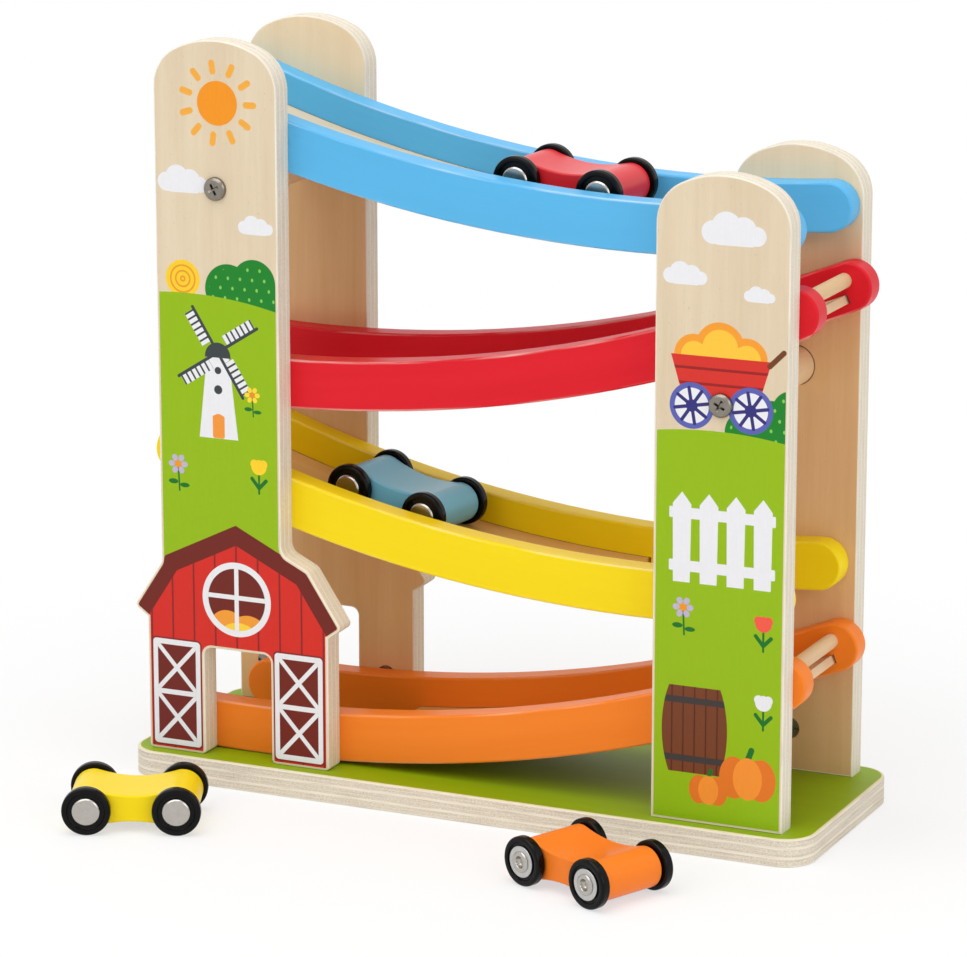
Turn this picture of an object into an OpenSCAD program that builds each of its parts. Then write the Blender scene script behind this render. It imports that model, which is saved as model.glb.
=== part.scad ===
// Click clack track: four curved ramps zigzag down between plywood posts on a
// painted base, and small two-axle cars roll down them, dropping from each ramp
// through the gap at its low end on to the next one.
// Frame: +X to the right along the base, +Y away from the printed faces, +Z up,
// with the origin at the centre of the base's underside.

/* [Base] */
// Length of the base board, left to right
base_length = 340; // [320:1:400]
// Depth of the base board, front to back
base_depth = 118; // [112:1:160]
// Thickness of the base board
base_thick = 13; // [11:0.5:20]
// Radius of the base board's corners, seen from above
base_corner_r = 15; // [6:0.5:30]
// Round-over along the base board's edges
base_edge_r = 1; // [0.4:0.1:2]

/* [Posts] */
// Thickness of the posts' plywood
post_thick = 12; // [11:0.5:14]
// Width of each post
post_width = 62.5; // [56:0.5:66]
// Place of the left posts along the base
left_post_x = -121.9; // [-124:0.1:-119]
// Place of the right posts along the base
right_post_x = 125.2; // [122:0.1:128]
// Height of the left posts above the middle of the blue rails' lowest point
left_post_rise = 72.1; // [66:0.1:100]
// Height of the right posts above the middle of the blue rails' lowest point
right_post_rise = 28.1; // [22:0.1:50]
// Radius of a post's crown
crown_r = 46; // [42:0.5:60]
// Radius of the shoulders that join the crown to the post's sides
shoulder_r = 20; // [14:0.5:24]

/* [Barn] */
// Place of the barn's middle along the base
barn_x = -114; // [-116:0.5:-112]
// Width of the doorway between the barn's legs
door_width = 34.8; // [26:0.2:40]
// Height of the doorway above the base
door_height = 52.2; // [44:0.2:56]
// Radius in the doorway's upper corners
door_corner_r = 4; // [1:0.5:8]
// Width of the barn's walls
wall_width = 94; // [90:0.5:98]
// Width across the eaves
eave_width = 108; // [104:0.5:112]
// Height of the eaves' tips above the base
eave_height = 68.7; // [66:0.5:71]
// Drop from the eaves' tips to the wall below them
eave_drop = 5; // [3:0.5:7]
// Width across the two bends of the roof
knee_width = 74; // [68:0.5:80]
// Height of the roof's bends above the base
knee_height = 94.5; // [91:0.5:98]
// Height of the roof's ridge above the base
ridge_height = 112.5; // [109:0.5:118]
// Rounding of the eaves' tips
eave_r = 2.5; // [1:0.5:3]
// Rounding of the roof's bends
knee_r = 5; // [2:0.5:8]
// Rounding of the legs' lower corners
foot_r = 2; // [0.5:0.5:4]
// Fillet where the posts' sides rise out of the roof
roof_fillet_r = 6; // [2:0.5:8]

/* [Ramps] */
// Radius of a ramp's curve, at the middle of its rails
ramp_r = 672.4; // [640:1:720]
// Length of a rail from tip to tip along its curve
rail_length = 320; // [312:0.5:324]
// Height of a rail
rail_height = 23; // [21:0.5:25]
// Thickness of a rail
rail_thick = 12; // [10:0.5:14]
// Round-over along the rails' edges
rail_edge_r = 1.2; // [0.5:0.1:2]
// Width of the channel between two rails
channel_width = 56; // [52:0.5:62]
// Lowest point of the blue ramp, along the base
blue_dip_x = 87; // [84:0.5:90]
// Rise from the red rails' lowest point to the blue rails'
blue_rise = 85.9; // [82:0.1:90]
// Lowest point of the red ramp, along the base
red_dip_x = -107.5; // [-110:0.5:-105]
// Rise from the yellow rails' lowest point to the red rails'
red_rise = 79.5; // [76:0.1:84]
// Lowest point of the yellow ramp, along the base
yellow_dip_x = 85; // [82:0.5:88]
// Rise from the orange rails' lowest point to the yellow rails'
yellow_rise = 87.9; // [84:0.1:92]
// Lowest point of the orange ramp, along the base
orange_dip_x = -110.5; // [-113:0.5:-108]
// Length of the left-hand ramps' rails past their lowest point
left_run_out = 56.5; // [50:0.5:60]
// Length of the right-hand ramps' rails past their lowest point
right_run_out = 29; // [24:0.5:34]

/* [Floors and stops] */
// Thickness of the ramps' floors
floor_thick = 4; // [3:0.2:5]
// Depth of a floor's top below the middle of its rails
floor_drop = 2.8; // [2:0.1:3.4]
// Length of a ramp's low end that has no floor, where a car drops through
drop_gap = 82; // [74:0.5:90]
// Distance of a floor's high end from the centre of its rails' round ends
floor_inset = 2; // [0:0.5:6]
// Depth of the grooves that hold a floor in its rails
groove_depth = 4; // [2:0.5:6]
// Length that a groove runs on past its floor
groove_run_on = 1; // [0.5:0.5:3]
// Diameter of the dowel that stops a car at a ramp's high end
stop_dowel_d = 7; // [5:0.5:8]
// Height of the stop dowel above the centre of the rails' round ends
stop_rise = 3.5; // [2:0.5:5]
// Depth of the stop dowels' holes in the rails
stop_depth = 6; // [3:0.5:8]

/* [Spacers and screws] */
// Diameter of the spacer rods between the front and back posts
spacer_d = 18; // [14:0.5:20]
// Height of the left spacer above the middle of the blue rails' lowest point
left_spacer_rise = 4.4; // [1:0.1:6]
// Height of the right spacer above the middle of the red rails' lowest point
right_spacer_rise = 12.8; // [9:0.1:15]
// Diameter of a post screw's head
screw_head_d = 11; // [9:0.5:13]
// Height of a post screw's head
screw_head_h = 2.6; // [2.2:0.1:4]
// Rounding of a post screw's head
screw_head_round = 2; // [1:0.1:2.1]
// Diameter of a post screw's shank
screw_d = 4; // [3:0.5:5]
// Length of a post screw below its head
screw_length = 32; // [24:1:40]

/* [Base bolts] */
// Diameter of the barrel nuts in the posts' feet
nut_d = 10; // [8:0.5:12]
// Length of a barrel nut
nut_length = 10; // [9:0.5:11]
// Height of the barrel nuts above the base's top
nut_rise = 20; // [16:0.5:26]
// Width of the screwdriver slot in a barrel nut
nut_slot_w = 1.4; // [1:0.1:2]
// Depth of the screwdriver slot in a barrel nut
nut_slot_depth = 1.2; // [0.8:0.1:2]
// Diameter of the bolts that hold the posts down
bolt_d = 6; // [4:0.5:6.5]
// Diameter of a bolt's head
bolt_head_d = 10; // [8:0.5:11]
// Height of a bolt's head
bolt_head_h = 5; // [4:0.5:6]
// Width across the flats of the socket in a bolt's head
bolt_key_w = 5; // [3:0.5:5]
// Depth of the socket in a bolt's head
bolt_key_depth = 3; // [2:0.5:3.5]
// Depth of a bolt's head below the base's underside
bolt_sink = 1; // [0.5:0.5:3]
// Length of a bolt's tip past the middle of its barrel nut
bolt_tip = 4; // [2:0.5:5]

/* [Cars] */
// Distance between a car's axles
wheelbase = 40.9; // [38:0.5:44]
// Width of a car's body
body_width = 32; // [28:0.5:34]
// Radius of a body's ends, round the axles
body_end_r = 9.2; // [8.5:0.1:9.8]
// Height of a body at its waist
waist_height = 12.2; // [11:0.2:16]
// Diameter of a wheel
wheel_d = 22.4; // [21.4:0.2:24]
// Thickness of a wheel
wheel_thick = 4.6; // [4:0.1:5]
// Rounding of a wheel's tread edges
wheel_edge_r = 1; // [0.5:0.1:1.4]
// Gap between a wheel and the body
wheel_gap = 0.7; // [0.4:0.1:1.2]
// Diameter of the recess in a wheel's outer face
hub_recess_d = 17; // [15.5:0.5:18]
// Depth of the recess in a wheel's outer face
hub_recess_depth = 1; // [0.6:0.1:1.6]
// Diameter of a rivet's shank, which is the axle
rivet_d = 7; // [6.2:0.1:7.5]
// Diameter of a rivet's head
rivet_head_d = 12.9; // [11:0.1:14]
// Thickness of a rivet's head
rivet_head_h = 1.5; // [1.2:0.1:2]
// Bevel round a rivet's head
rivet_bevel = 0.6; // [0.2:0.1:1]
// Diameter of the washer under a rivet's tail
washer_d = 14.2; // [12:0.1:15]
// Thickness of the washer
washer_thick = 1; // [0.6:0.1:1.4]
// Diameter of a rivet's rolled tail
tail_d = 9.5; // [8:0.1:10.5]
// Thickness of a rivet's rolled tail
tail_thick = 0.9; // [0.6:0.1:1.2]
// Diameter of the hollow in a rivet's tail
tail_hollow_d = 5; // [4:0.1:5.4]
// Depth of the hollow in a rivet's tail
tail_hollow_depth = 8; // [4:0.5:12]

/* [Where the cars stand] */
// Place of the yellow car along the base
yellow_car_x = -131.8; // [-150:0.5:-100]
// Distance of the yellow car in front of the base's front edge
yellow_car_out = 60.3; // [50:0.5:90]
// Heading of the yellow car
yellow_car_turn = 23.1; // [-30:0.5:30]
// Place of the orange car along the base
orange_car_x = 91.7; // [60:0.5:120]
// Distance of the orange car in front of the base's front edge
orange_car_out = 58.4; // [50:0.5:90]
// Heading of the orange car
orange_car_turn = -23.4; // [-30:0.5:30]
// Place of the red car along the blue ramp, measured back from its lowest point
red_car_back = 53.5; // [52:0.5:150]
// Slant of the red car in its channel
red_car_slant = -1.7; // [-4:0.1:4]
// Place of the grey car along the yellow ramp, measured back from its lowest point
grey_car_back = 136.8; // [60:0.5:190]
// Slant of the grey car in its channel
grey_car_slant = -5.6; // [-6:0.1:6]

/* [Hidden] */
$fn = 96;
// Facets of a full turn at a ramp's radius, in a drawn mesh
ramp_facets = 720;

// Clearance of a pin, bolt or screw in wood, on the radius
hole_clear = 0.1;
// Clearance round a bolt's head in the base
sink_clear = 0.5;
// Clearance of a wheel on its rivet, on the radius
wheel_clear = 0.08;
// Clearance of a floor in its grooves, all round
groove_clear = 0.1;
// Clearance between a wheel and the metal that keeps it on
hub_clear = 0.1;
// Clearance between the orange rails and the base that they rest on
rest_clear = 0.1;
// Clearance between a parked car's wheels and a ramp's floor
ride_clear = 0.12;
// Overrun of every cut past the face that it opens
cut = 1;
// Reach of a corner's cut from its arc's centre, in times the corner's own distance
corner_reach = 1.5;
// Distance by which a waist's curve runs into the body's round ends
waist_overlap = 0.01;

half_turn = 180;
quarter_turn = half_turn / 2;

// Heights of the middles of the rails above the base at their lowest points. The orange
// rails rest on the base, and each ramp is placed from the one below it
orange_dip_height = rail_height / 2 + rest_clear;
yellow_dip_height = orange_dip_height + yellow_rise;
red_dip_height = yellow_dip_height + red_rise;
blue_dip_height = red_dip_height + blue_rise;
left_post_height = blue_dip_height + left_post_rise;
right_post_height = blue_dip_height + right_post_rise;

post_gap = channel_width + 2 * rail_thick;
post_mid_y = (post_gap + post_thick) / 2;
shoulder_x = post_width / 2 - shoulder_r;
shoulder_drop = crown_r - sqrt(pow(crown_r - shoulder_r, 2) - pow(shoulder_x, 2));
nut_z = base_thick + nut_rise;
nut_hole_depth = nut_length + 2 * hole_clear;
left_spacer_z = base_thick + blue_dip_height + left_spacer_rise;
right_spacer_z = base_thick + red_dip_height + right_spacer_rise;
leg_mid = (door_width + wall_width) / 4;
left_bolts = [barn_x - leg_mid, barn_x + leg_mid];
right_bolts = [right_post_x];
all_bolts = concat(left_bolts, right_bolts);

rail_end_r = rail_height / 2;
rail_arc = rail_length - rail_height;
floor_r = ramp_r + floor_drop;
floor_width = channel_width + 2 * (groove_depth - groove_clear);
stop_path_r = ramp_r - stop_rise;
stop_length = channel_width + 2 * (stop_depth - hole_clear);
// Ways in which a ramp climbs from its lowest point
to_left = -1;
to_right = 1;
// Centres of the ramps' curves, in X and Z
blue_centre = [blue_dip_x, base_thick + blue_dip_height + ramp_r];
red_centre = [red_dip_x, base_thick + red_dip_height + ramp_r];
yellow_centre = [yellow_dip_x, base_thick + yellow_dip_height + ramp_r];
orange_centre = [orange_dip_x, base_thick + orange_dip_height + ramp_r];

wheel_r = wheel_d / 2;
wheel_inner_y = body_width / 2 + wheel_gap;
wheel_outer_y = wheel_inner_y + wheel_thick;
hub_floor_y = wheel_outer_y - hub_recess_depth;
hub_seat_y = hub_floor_y + hub_clear;
tail_y = hub_seat_y + washer_thick;
waist_half = waist_height / 2;
half_base = wheelbase / 2;
waist_r = (pow(waist_half, 2) + pow(half_base, 2) - pow(body_end_r, 2)) / (2 * (body_end_r - waist_half));
// Distance of a parked car's axles, and of its middle, from the centre of the ramp's curve
axle_path_r = floor_r - wheel_r - ride_clear;
car_path_r = sqrt(pow(axle_path_r, 2) - pow(half_base, 2));

birch = "#ead8b8";
rod_wood = "#e3c596";
base_green = "#a2b93c";
sky_blue = "#64b4e6";
signal_red = "#e1262d";
sun_yellow = "#fdd71e";
bright_orange = "#fd8c32";
smoke_blue = "#6ea0b4";
wheel_black = "#1a1a1c";
steel = "#c3c2c0";
zinc = "#9b9a98";

// Angle that a length of arc spans at a radius
function arc_angle(length, radius) = length / radius * half_turn / PI;
function unit(v) = v / norm(v);
function bend(a, b, c) = (b - a)[0] * (c - b)[1] - (b - a)[1] * (c - b)[0];

// The two tangent points and the centre of the arc that rounds corner b
function corner_arc(a, b, c, r) =
    let (
        to_a = unit(a - b),
        to_c = unit(c - b),
        half = acos(to_a * to_c) / 2
    )
    [b + to_a * r / tan(half), b + to_c * r / tan(half), b + unit(to_a + to_c) * r / sin(half)];

// Angles from a ramp's lowest point, to the right, of its rails' end centres
function low_end(climb) =
    -climb * arc_angle(climb == to_left ? left_run_out : right_run_out, ramp_r);
function high_end(climb) = low_end(climb) + climb * arc_angle(rail_arc, ramp_r);
// The same for the two ends of a floor, and for its groove with more = groove_run_on
function floor_low(climb, more) = low_end(climb) + climb * arc_angle(drop_gap - more, ramp_r);
function floor_high(climb, more) = high_end(climb) - climb * arc_angle(floor_inset - more, ramp_r);

// Height of the barn's roof above the base at a distance from the barn's middle
function roof_height(away) =
    away < knee_width / 2
    ? ridge_height + (knee_height - ridge_height) * away / (knee_width / 2)
    : knee_height + (eave_height - knee_height) * (away - knee_width / 2) / ((eave_width - knee_width) / 2);

// Corners of one half of the barn and of the post that rises from it, as distances from
// the barn's middle, heights above the base and radii; a knee inside the post is left out
function barn_half(away) = concat(
    [
        [wall_width / 2, 0, foot_r],
        [wall_width / 2, eave_height - eave_drop, 0],
        [eave_width / 2, eave_height, eave_r]
    ],
    away < knee_width / 2 ? [[knee_width / 2, knee_height, knee_r]] : [],
    [
        [away, roof_height(away), roof_fillet_r],
        [away, left_post_height - shoulder_drop, 0]
    ]
);
function mirrored(corners) =
    [for (i = [len(corners) - 1 : -1 : 0]) [-corners[i][0], corners[i][1], corners[i][2]]];

// A closed outline from corners given anticlockwise, each with its place and the
// radius that rounds it or, where it points inward, fills it
module rounded_outline(corners) {
    n = len(corners);
    at = [for (c = corners) [c[0], c[1]]];
    arcs = [for (i = [0 : n - 1])
        corner_arc(at[(i + n - 1) % n], at[i], at[(i + 1) % n], corners[i][2])];
    outward = [for (i = [0 : n - 1]) bend(at[(i + n - 1) % n], at[i], at[(i + 1) % n]) > 0];
    rounded = [for (i = [0 : n - 1]) if (corners[i][2] > 0) i];
    difference() {
        polygon([for (i = [0 : n - 1])
            each corners[i][2] > 0 && !outward[i] ? [arcs[i][0], arcs[i][1]] : [at[i]]]);
        for (i = rounded)
            difference() {
                if (outward[i])
                    polygon([
                        arcs[i][2] + (at[i] - arcs[i][2]) * corner_reach,
                        arcs[i][1], arcs[i][2], arcs[i][0]
                    ]);
                if (outward[i]) translate(arcs[i][2]) circle(corners[i][2]);
            }
        for (i = rounded)
            if (!outward[i]) translate(arcs[i][2]) circle(corners[i][2]);
    }
}

// Draws an outline given in X and Z as a sheet whose middle lies at mid_y
module upright(mid_y, thick) {
    translate([0, mid_y + thick / 2, 0])
        rotate([quarter_turn, 0, 0])
            linear_extrude(thick) children();
}

// A pin or hole along Y, between two places
module along_y(d, from_y, to_y) {
    translate([0, to_y, 0])
        rotate([quarter_turn, 0, 0])
            cylinder(d = d, h = to_y - from_y);
}

// A post's crown between its two shoulders, in X and Z
module crown_outline(x, height) {
    reach = unit([shoulder_x, crown_r - shoulder_drop]) * 2 * crown_r;
    translate([x, base_thick + height - crown_r])
        intersection() {
            circle(crown_r);
            polygon([[0, 0], reach, [-reach[0], reach[1]]]);
        }
    for (side = [-1, 1])
        translate([x + side * shoulder_x, base_thick + height - shoulder_drop]) circle(shoulder_r);
}

// A left post's outline: the post rises out of the roof of the barn below it
module left_outline() {
    door = door_width / 2;
    crown_outline(left_post_x, left_post_height);
    translate([barn_x, base_thick])
        rounded_outline(concat(
            barn_half(left_post_x + post_width / 2 - barn_x),
            mirrored(barn_half(barn_x - left_post_x + post_width / 2)),
            [[-door, 0, foot_r], [-door, door_height, door_corner_r]],
            [[door, door_height, door_corner_r], [door, 0, foot_r]]
        ));
}

module right_outline() {
    crown_outline(right_post_x, right_post_height);
    translate([right_post_x - post_width / 2, base_thick])
        square([post_width, right_post_height - shoulder_drop]);
}

// The blind hole for a barrel nut, and the bolt's hole that crosses it
module nut_and_bolt_holes(side, places) {
    for (x = places) {
        translate([x, 0, nut_z])
            along_y(
                nut_d + 2 * hole_clear,
                min(side * (post_gap / 2 - cut), side * (post_gap / 2 + nut_hole_depth)),
                max(side * (post_gap / 2 - cut), side * (post_gap / 2 + nut_hole_depth))
            );
        translate([x, side * post_mid_y, base_thick - cut])
            cylinder(d = bolt_d + 2 * hole_clear, h = cut + nut_rise + bolt_tip + hole_clear);
    }
}

module post(side, x, screw_z, bolts) {
    difference() {
        upright(side * post_mid_y, post_thick) children();
        translate([x, side * post_mid_y, screw_z])
            along_y(screw_d + 2 * hole_clear, -post_thick / 2 - cut, post_thick / 2 + cut);
        nut_and_bolt_holes(side, bolts);
    }
}

module left_post(side) {
    post(side, left_post_x, left_spacer_z, left_bolts) left_outline();
}

module right_post(side) {
    post(side, right_post_x, right_spacer_z, right_bolts) right_outline();
}

// A bar's cross-section, standing on the X axis, with its four edges eased
module eased_bar(width, height, edge_r) {
    rounded_outline([
        [-width / 2, 0, edge_r], [width / 2, 0, edge_r],
        [width / 2, height, edge_r], [-width / 2, height, edge_r]
    ]);
}

// Half the cross-section of a disc with the same eased edges
module eased_disc_half(radius, height, edge_r) {
    rounded_outline([[0, 0, 0], [radius, 0, edge_r], [radius, height, edge_r], [0, height, 0]]);
}

module base_board() {
    straight_x = base_length - 2 * base_corner_r;
    straight_y = base_depth - 2 * base_corner_r;
    for (x = [-straight_x / 2, straight_x / 2], y = [-straight_y / 2, straight_y / 2])
        translate([x, y, 0])
            rotate_extrude() eased_disc_half(base_corner_r, base_thick, base_edge_r);
    translate([0, straight_y / 2, 0])
        rotate([quarter_turn, 0, 0])
            linear_extrude(straight_y) eased_bar(base_length, base_thick, base_edge_r);
    translate([-straight_x / 2, 0, 0])
        rotate([quarter_turn, 0, quarter_turn])
            linear_extrude(straight_x) eased_bar(base_depth, base_thick, base_edge_r);
}

// Turns a ramp's own plane, X along and Y up from the curve's centre, upright
module about(centre) {
    translate([centre[0], 0, centre[1]])
        rotate([quarter_turn, 0, 0]) children();
}

// Sweeps a cross-section between two angles about a ramp's centre
module swept(from_angle, to_angle) {
    rotate([0, 0, min(from_angle, to_angle) - quarter_turn])
        rotate_extrude(angle = abs(to_angle - from_angle), $fn = ramp_facets) children();
}

// A rail from one round end, whose centre is on the X axis, to past its middle
module half_rail() {
    rotate_extrude(angle = arc_angle(rail_arc / 2 + cut, ramp_r), $fn = ramp_facets)
        translate([ramp_r, 0]) eased_bar(rail_height, rail_thick, rail_edge_r);
    translate([ramp_r, 0, 0])
        rotate([0, 0, half_turn])
            rotate_extrude(angle = half_turn) eased_disc_half(rail_end_r, rail_thick, rail_edge_r);
}

// The two halves of a rail mirror each other about its middle
module rail_blank(climb) {
    rotate([0, 0, (low_end(climb) + high_end(climb)) / 2 - quarter_turn])
        for (flip = [0, 1])
            mirror([0, flip, 0])
                rotate([0, 0, -arc_angle(rail_arc / 2, ramp_r)]) half_rail();
}

// The curved groove that a floor's edge lies in
module floor_groove(climb, z, depth) {
    low = floor_low(climb, groove_run_on);
    high = floor_high(climb, groove_run_on);
    groove_thick = floor_thick + 2 * groove_clear;
    swept(low, high)
        translate([floor_r - groove_clear, z]) square([groove_thick, depth]);
}

// One rail, on the front (side -1) or the back (side 1) of its channel
module rail(centre, climb, side) {
    z = side < 0 ? channel_width / 2 : -post_gap / 2;
    groove_z = side < 0 ? channel_width / 2 - cut : -channel_width / 2 - groove_depth;
    stop_z = side < 0 ? channel_width / 2 - cut : -channel_width / 2 - stop_depth;
    about(centre)
        difference() {
            translate([0, 0, z]) rail_blank(climb);
            floor_groove(climb, groove_z, groove_depth + cut);
            rotate([0, 0, high_end(climb) - quarter_turn])
                translate([stop_path_r, 0, stop_z])
                    cylinder(d = stop_dowel_d + 2 * hole_clear, h = stop_depth + cut);
        }
}

module ramp_floor(centre, climb) {
    about(centre)
        swept(floor_low(climb, 0), floor_high(climb, 0))
            translate([floor_r, -floor_width / 2]) square([floor_thick, floor_width]);
}

module stop_dowel(centre, climb) {
    about(centre)
        rotate([0, 0, high_end(climb) - quarter_turn])
            translate([stop_path_r, 0, 0])
                cylinder(d = stop_dowel_d, h = stop_length, center = true);
}

module spacer_rod(x, z) {
    pilot_end = post_gap / 2 + post_thick - screw_length - hole_clear;
    translate([x, 0, z])
        difference() {
            along_y(spacer_d, -post_gap / 2, post_gap / 2);
            along_y(screw_d + 2 * hole_clear, pilot_end, post_gap / 2 + cut);
            along_y(screw_d + 2 * hole_clear, -post_gap / 2 - cut, -pilot_end);
        }
}

// A pan-head screw with its head's underside at the origin and its shank down -Z
module pan_screw() {
    rotate_extrude()
        rounded_outline([
            [0, 0, 0], [screw_head_d / 2, 0, 0],
            [screw_head_d / 2, screw_head_h, screw_head_round], [0, screw_head_h, 0]
        ]);
    translate([0, 0, screw_d - screw_length]) cylinder(d = screw_d, h = screw_length - screw_d);
    translate([0, 0, -screw_length]) cylinder(d1 = 0, d2 = screw_d, h = screw_d);
}

// A slotted barrel nut with its slotted face at the origin, lying along +Y
module barrel_nut(side) {
    difference() {
        along_y(nut_d, min(0, side * nut_length), max(0, side * nut_length));
        cube([nut_d + 2 * cut, 2 * nut_slot_depth, nut_slot_w], center = true);
        translate([0, side * (post_thick / 2 - hole_clear), -nut_d / 2 - cut])
            cylinder(d = bolt_d + 2 * hole_clear, h = nut_d + 2 * cut);
    }
}

module base_bolt() {
    key_r = bolt_key_w / sqrt(3);
    shank = nut_z + bolt_tip - bolt_sink - bolt_head_h;
    translate([0, 0, bolt_sink])
        difference() {
            union() {
                cylinder(d = bolt_head_d, h = bolt_head_h);
                translate([0, 0, bolt_head_h]) cylinder(d = bolt_d, h = shank);
            }
            translate([0, 0, -cut]) cylinder(r = key_r, h = bolt_key_depth + cut, $fn = 6);
        }
}

// A car's body in its own frame: X along it, the axles at Z = 0
module car_body_blank() {
    share = body_end_r / (body_end_r + waist_r);
    meet_x = half_base * (1 - share);
    meet_z = (waist_half + waist_r) * share;
    difference() {
        upright(0, body_width) {
            difference() {
                square([2 * (meet_x + cut), 2 * meet_z], center = true);
                for (up = [-1, 1])
                    translate([0, up * (waist_half + waist_r)]) circle(waist_r + waist_overlap);
            }
            for (end = [-1, 1])
                translate([end * half_base, 0]) circle(body_end_r);
        }
        for (end = [-1, 1])
            translate([end * half_base, 0, 0])
                along_y(rivet_d + 2 * hole_clear, -body_width / 2 - cut, body_width / 2 + cut);
    }
}

// A wheel standing on its inner face, with the recess for the hub in its outer face
module wheel_blank() {
    bore_r = rivet_d / 2 + wheel_clear;
    rotate_extrude()
        difference() {
            rounded_outline([
                [bore_r, 0, 0], [wheel_r, 0, wheel_edge_r],
                [wheel_r, wheel_thick, wheel_edge_r], [bore_r, wheel_thick, 0]
            ]);
            translate([bore_r - cut, wheel_thick - hub_recess_depth])
                square([hub_recess_d / 2 - bore_r + cut, hub_recess_depth + cut]);
        }
}

// Wheels 1 and 2 are at the front, and the odd ones are on the -Y side
module car_wheel(number) {
    side = number % 2 == 1 ? -1 : 1;
    end = number <= 2 ? 1 : -1;
    translate([end * half_base, side * wheel_inner_y, 0])
        rotate([-side * quarter_turn, 0, 0]) wheel_blank();
}

// The rivets' heads are on the -Y side and their rolled tails on the +Y side
module car_rivets() {
    shank_end = tail_y + tail_thick;
    head_r = rivet_head_d / 2;
    shank_r = rivet_d / 2;
    for (end = [-1, 1])
        translate([end * half_base, -hub_seat_y, 0])
            rotate([-quarter_turn, 0, 0])
                difference() {
                    rotate_extrude()
                        polygon([
                            [0, -rivet_head_h], [head_r - rivet_bevel, -rivet_head_h],
                            [head_r, rivet_bevel - rivet_head_h], [head_r, 0],
                            [shank_r, 0], [shank_r, hub_seat_y + tail_y],
                            [tail_d / 2, hub_seat_y + tail_y], [tail_d / 2, hub_seat_y + tail_y + tail_thick / 2],
                            [shank_r, hub_seat_y + shank_end], [0, hub_seat_y + shank_end]
                        ]);
                    translate([0, 0, hub_seat_y + shank_end - tail_hollow_depth])
                        cylinder(d = tail_hollow_d, h = tail_hollow_depth + cut);
                }
}

module car_washers() {
    for (end = [-1, 1])
        translate([end * half_base, 0, 0])
            difference() {
                along_y(washer_d, hub_seat_y, hub_seat_y + washer_thick);
                along_y(rivet_d + 2 * wheel_clear, hub_seat_y - cut, hub_seat_y + washer_thick + cut);
            }
}

// Stands a car on the ground in front of the base, or on a ramp's floor
module on_ground(x, out, turn) {
    translate([x, -base_depth / 2 - out, wheel_r])
        rotate([0, 0, turn]) children();
}

module on_ramp(centre, back, slant) {
    translate([centre[0], 0, centre[1]])
        rotate([0, arc_angle(back, car_path_r), 0])
            translate([0, 0, -car_path_r])
                rotate([0, 0, slant]) children();
}

module place_yellow_car() {
    on_ground(yellow_car_x, yellow_car_out, yellow_car_turn) children();
}

module place_orange_car() {
    on_ground(orange_car_x, orange_car_out, orange_car_turn + half_turn) children();
}

module place_red_car() {
    on_ramp(blue_centre, red_car_back, red_car_slant) children();
}

module place_grey_car() {
    on_ramp(yellow_centre, grey_car_back, grey_car_slant) children();
}

module base() {
    color(base_green)
        difference() {
            base_board();
            for (side = [-1, 1], x = all_bolts)
                translate([x, side * post_mid_y, 0]) {
                    translate([0, 0, -cut]) cylinder(d = bolt_d + 2 * hole_clear, h = base_thick + 2 * cut);
                    translate([0, 0, -cut])
                        cylinder(d = bolt_head_d + 2 * sink_clear, h = cut + bolt_sink + bolt_head_h);
                }
        }
}

module post_left_front() { color(birch) left_post(-1); }
module post_left_back() { color(birch) left_post(1); }
module post_right_front() { color(birch) right_post(-1); }
module post_right_back() { color(birch) right_post(1); }
module rail_blue_front() { color(sky_blue) rail(blue_centre, to_left, -1); }
module rail_blue_back() { color(sky_blue) rail(blue_centre, to_left, 1); }
module rail_red_front() { color(signal_red) rail(red_centre, to_right, -1); }
module rail_red_back() { color(signal_red) rail(red_centre, to_right, 1); }
module rail_yellow_front() { color(sun_yellow) rail(yellow_centre, to_left, -1); }
module rail_yellow_back() { color(sun_yellow) rail(yellow_centre, to_left, 1); }
module rail_orange_front() { color(bright_orange) rail(orange_centre, to_right, -1); }
module rail_orange_back() { color(bright_orange) rail(orange_centre, to_right, 1); }
module floor_blue() { color(birch) ramp_floor(blue_centre, to_left); }
module floor_red() { color(birch) ramp_floor(red_centre, to_right); }
module floor_yellow() { color(birch) ramp_floor(yellow_centre, to_left); }
module floor_orange() { color(birch) ramp_floor(orange_centre, to_right); }
module stop_blue() { color(rod_wood) stop_dowel(blue_centre, to_left); }
module stop_red() { color(rod_wood) stop_dowel(red_centre, to_right); }
module stop_yellow() { color(rod_wood) stop_dowel(yellow_centre, to_left); }
module stop_orange() { color(rod_wood) stop_dowel(orange_centre, to_right); }
module spacer_left() { color(rod_wood) spacer_rod(left_post_x, left_spacer_z); }
module spacer_right() { color(rod_wood) spacer_rod(right_post_x, right_spacer_z); }

module post_screws() {
    color(zinc)
        for (side = [-1, 1], at = [[left_post_x, left_spacer_z], [right_post_x, right_spacer_z]])
            translate([at[0], side * (post_gap / 2 + post_thick), at[1]])
                rotate([-side * quarter_turn, 0, 0]) pan_screw();
}

module barrel_nuts() {
    color(zinc)
        for (side = [-1, 1], x = all_bolts)
            translate([x, side * (post_gap / 2 + hole_clear), nut_z]) barrel_nut(side);
}

module base_bolts() {
    color(zinc)
        for (side = [-1, 1], x = all_bolts)
            translate([x, side * post_mid_y, 0]) base_bolt();
}

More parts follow.
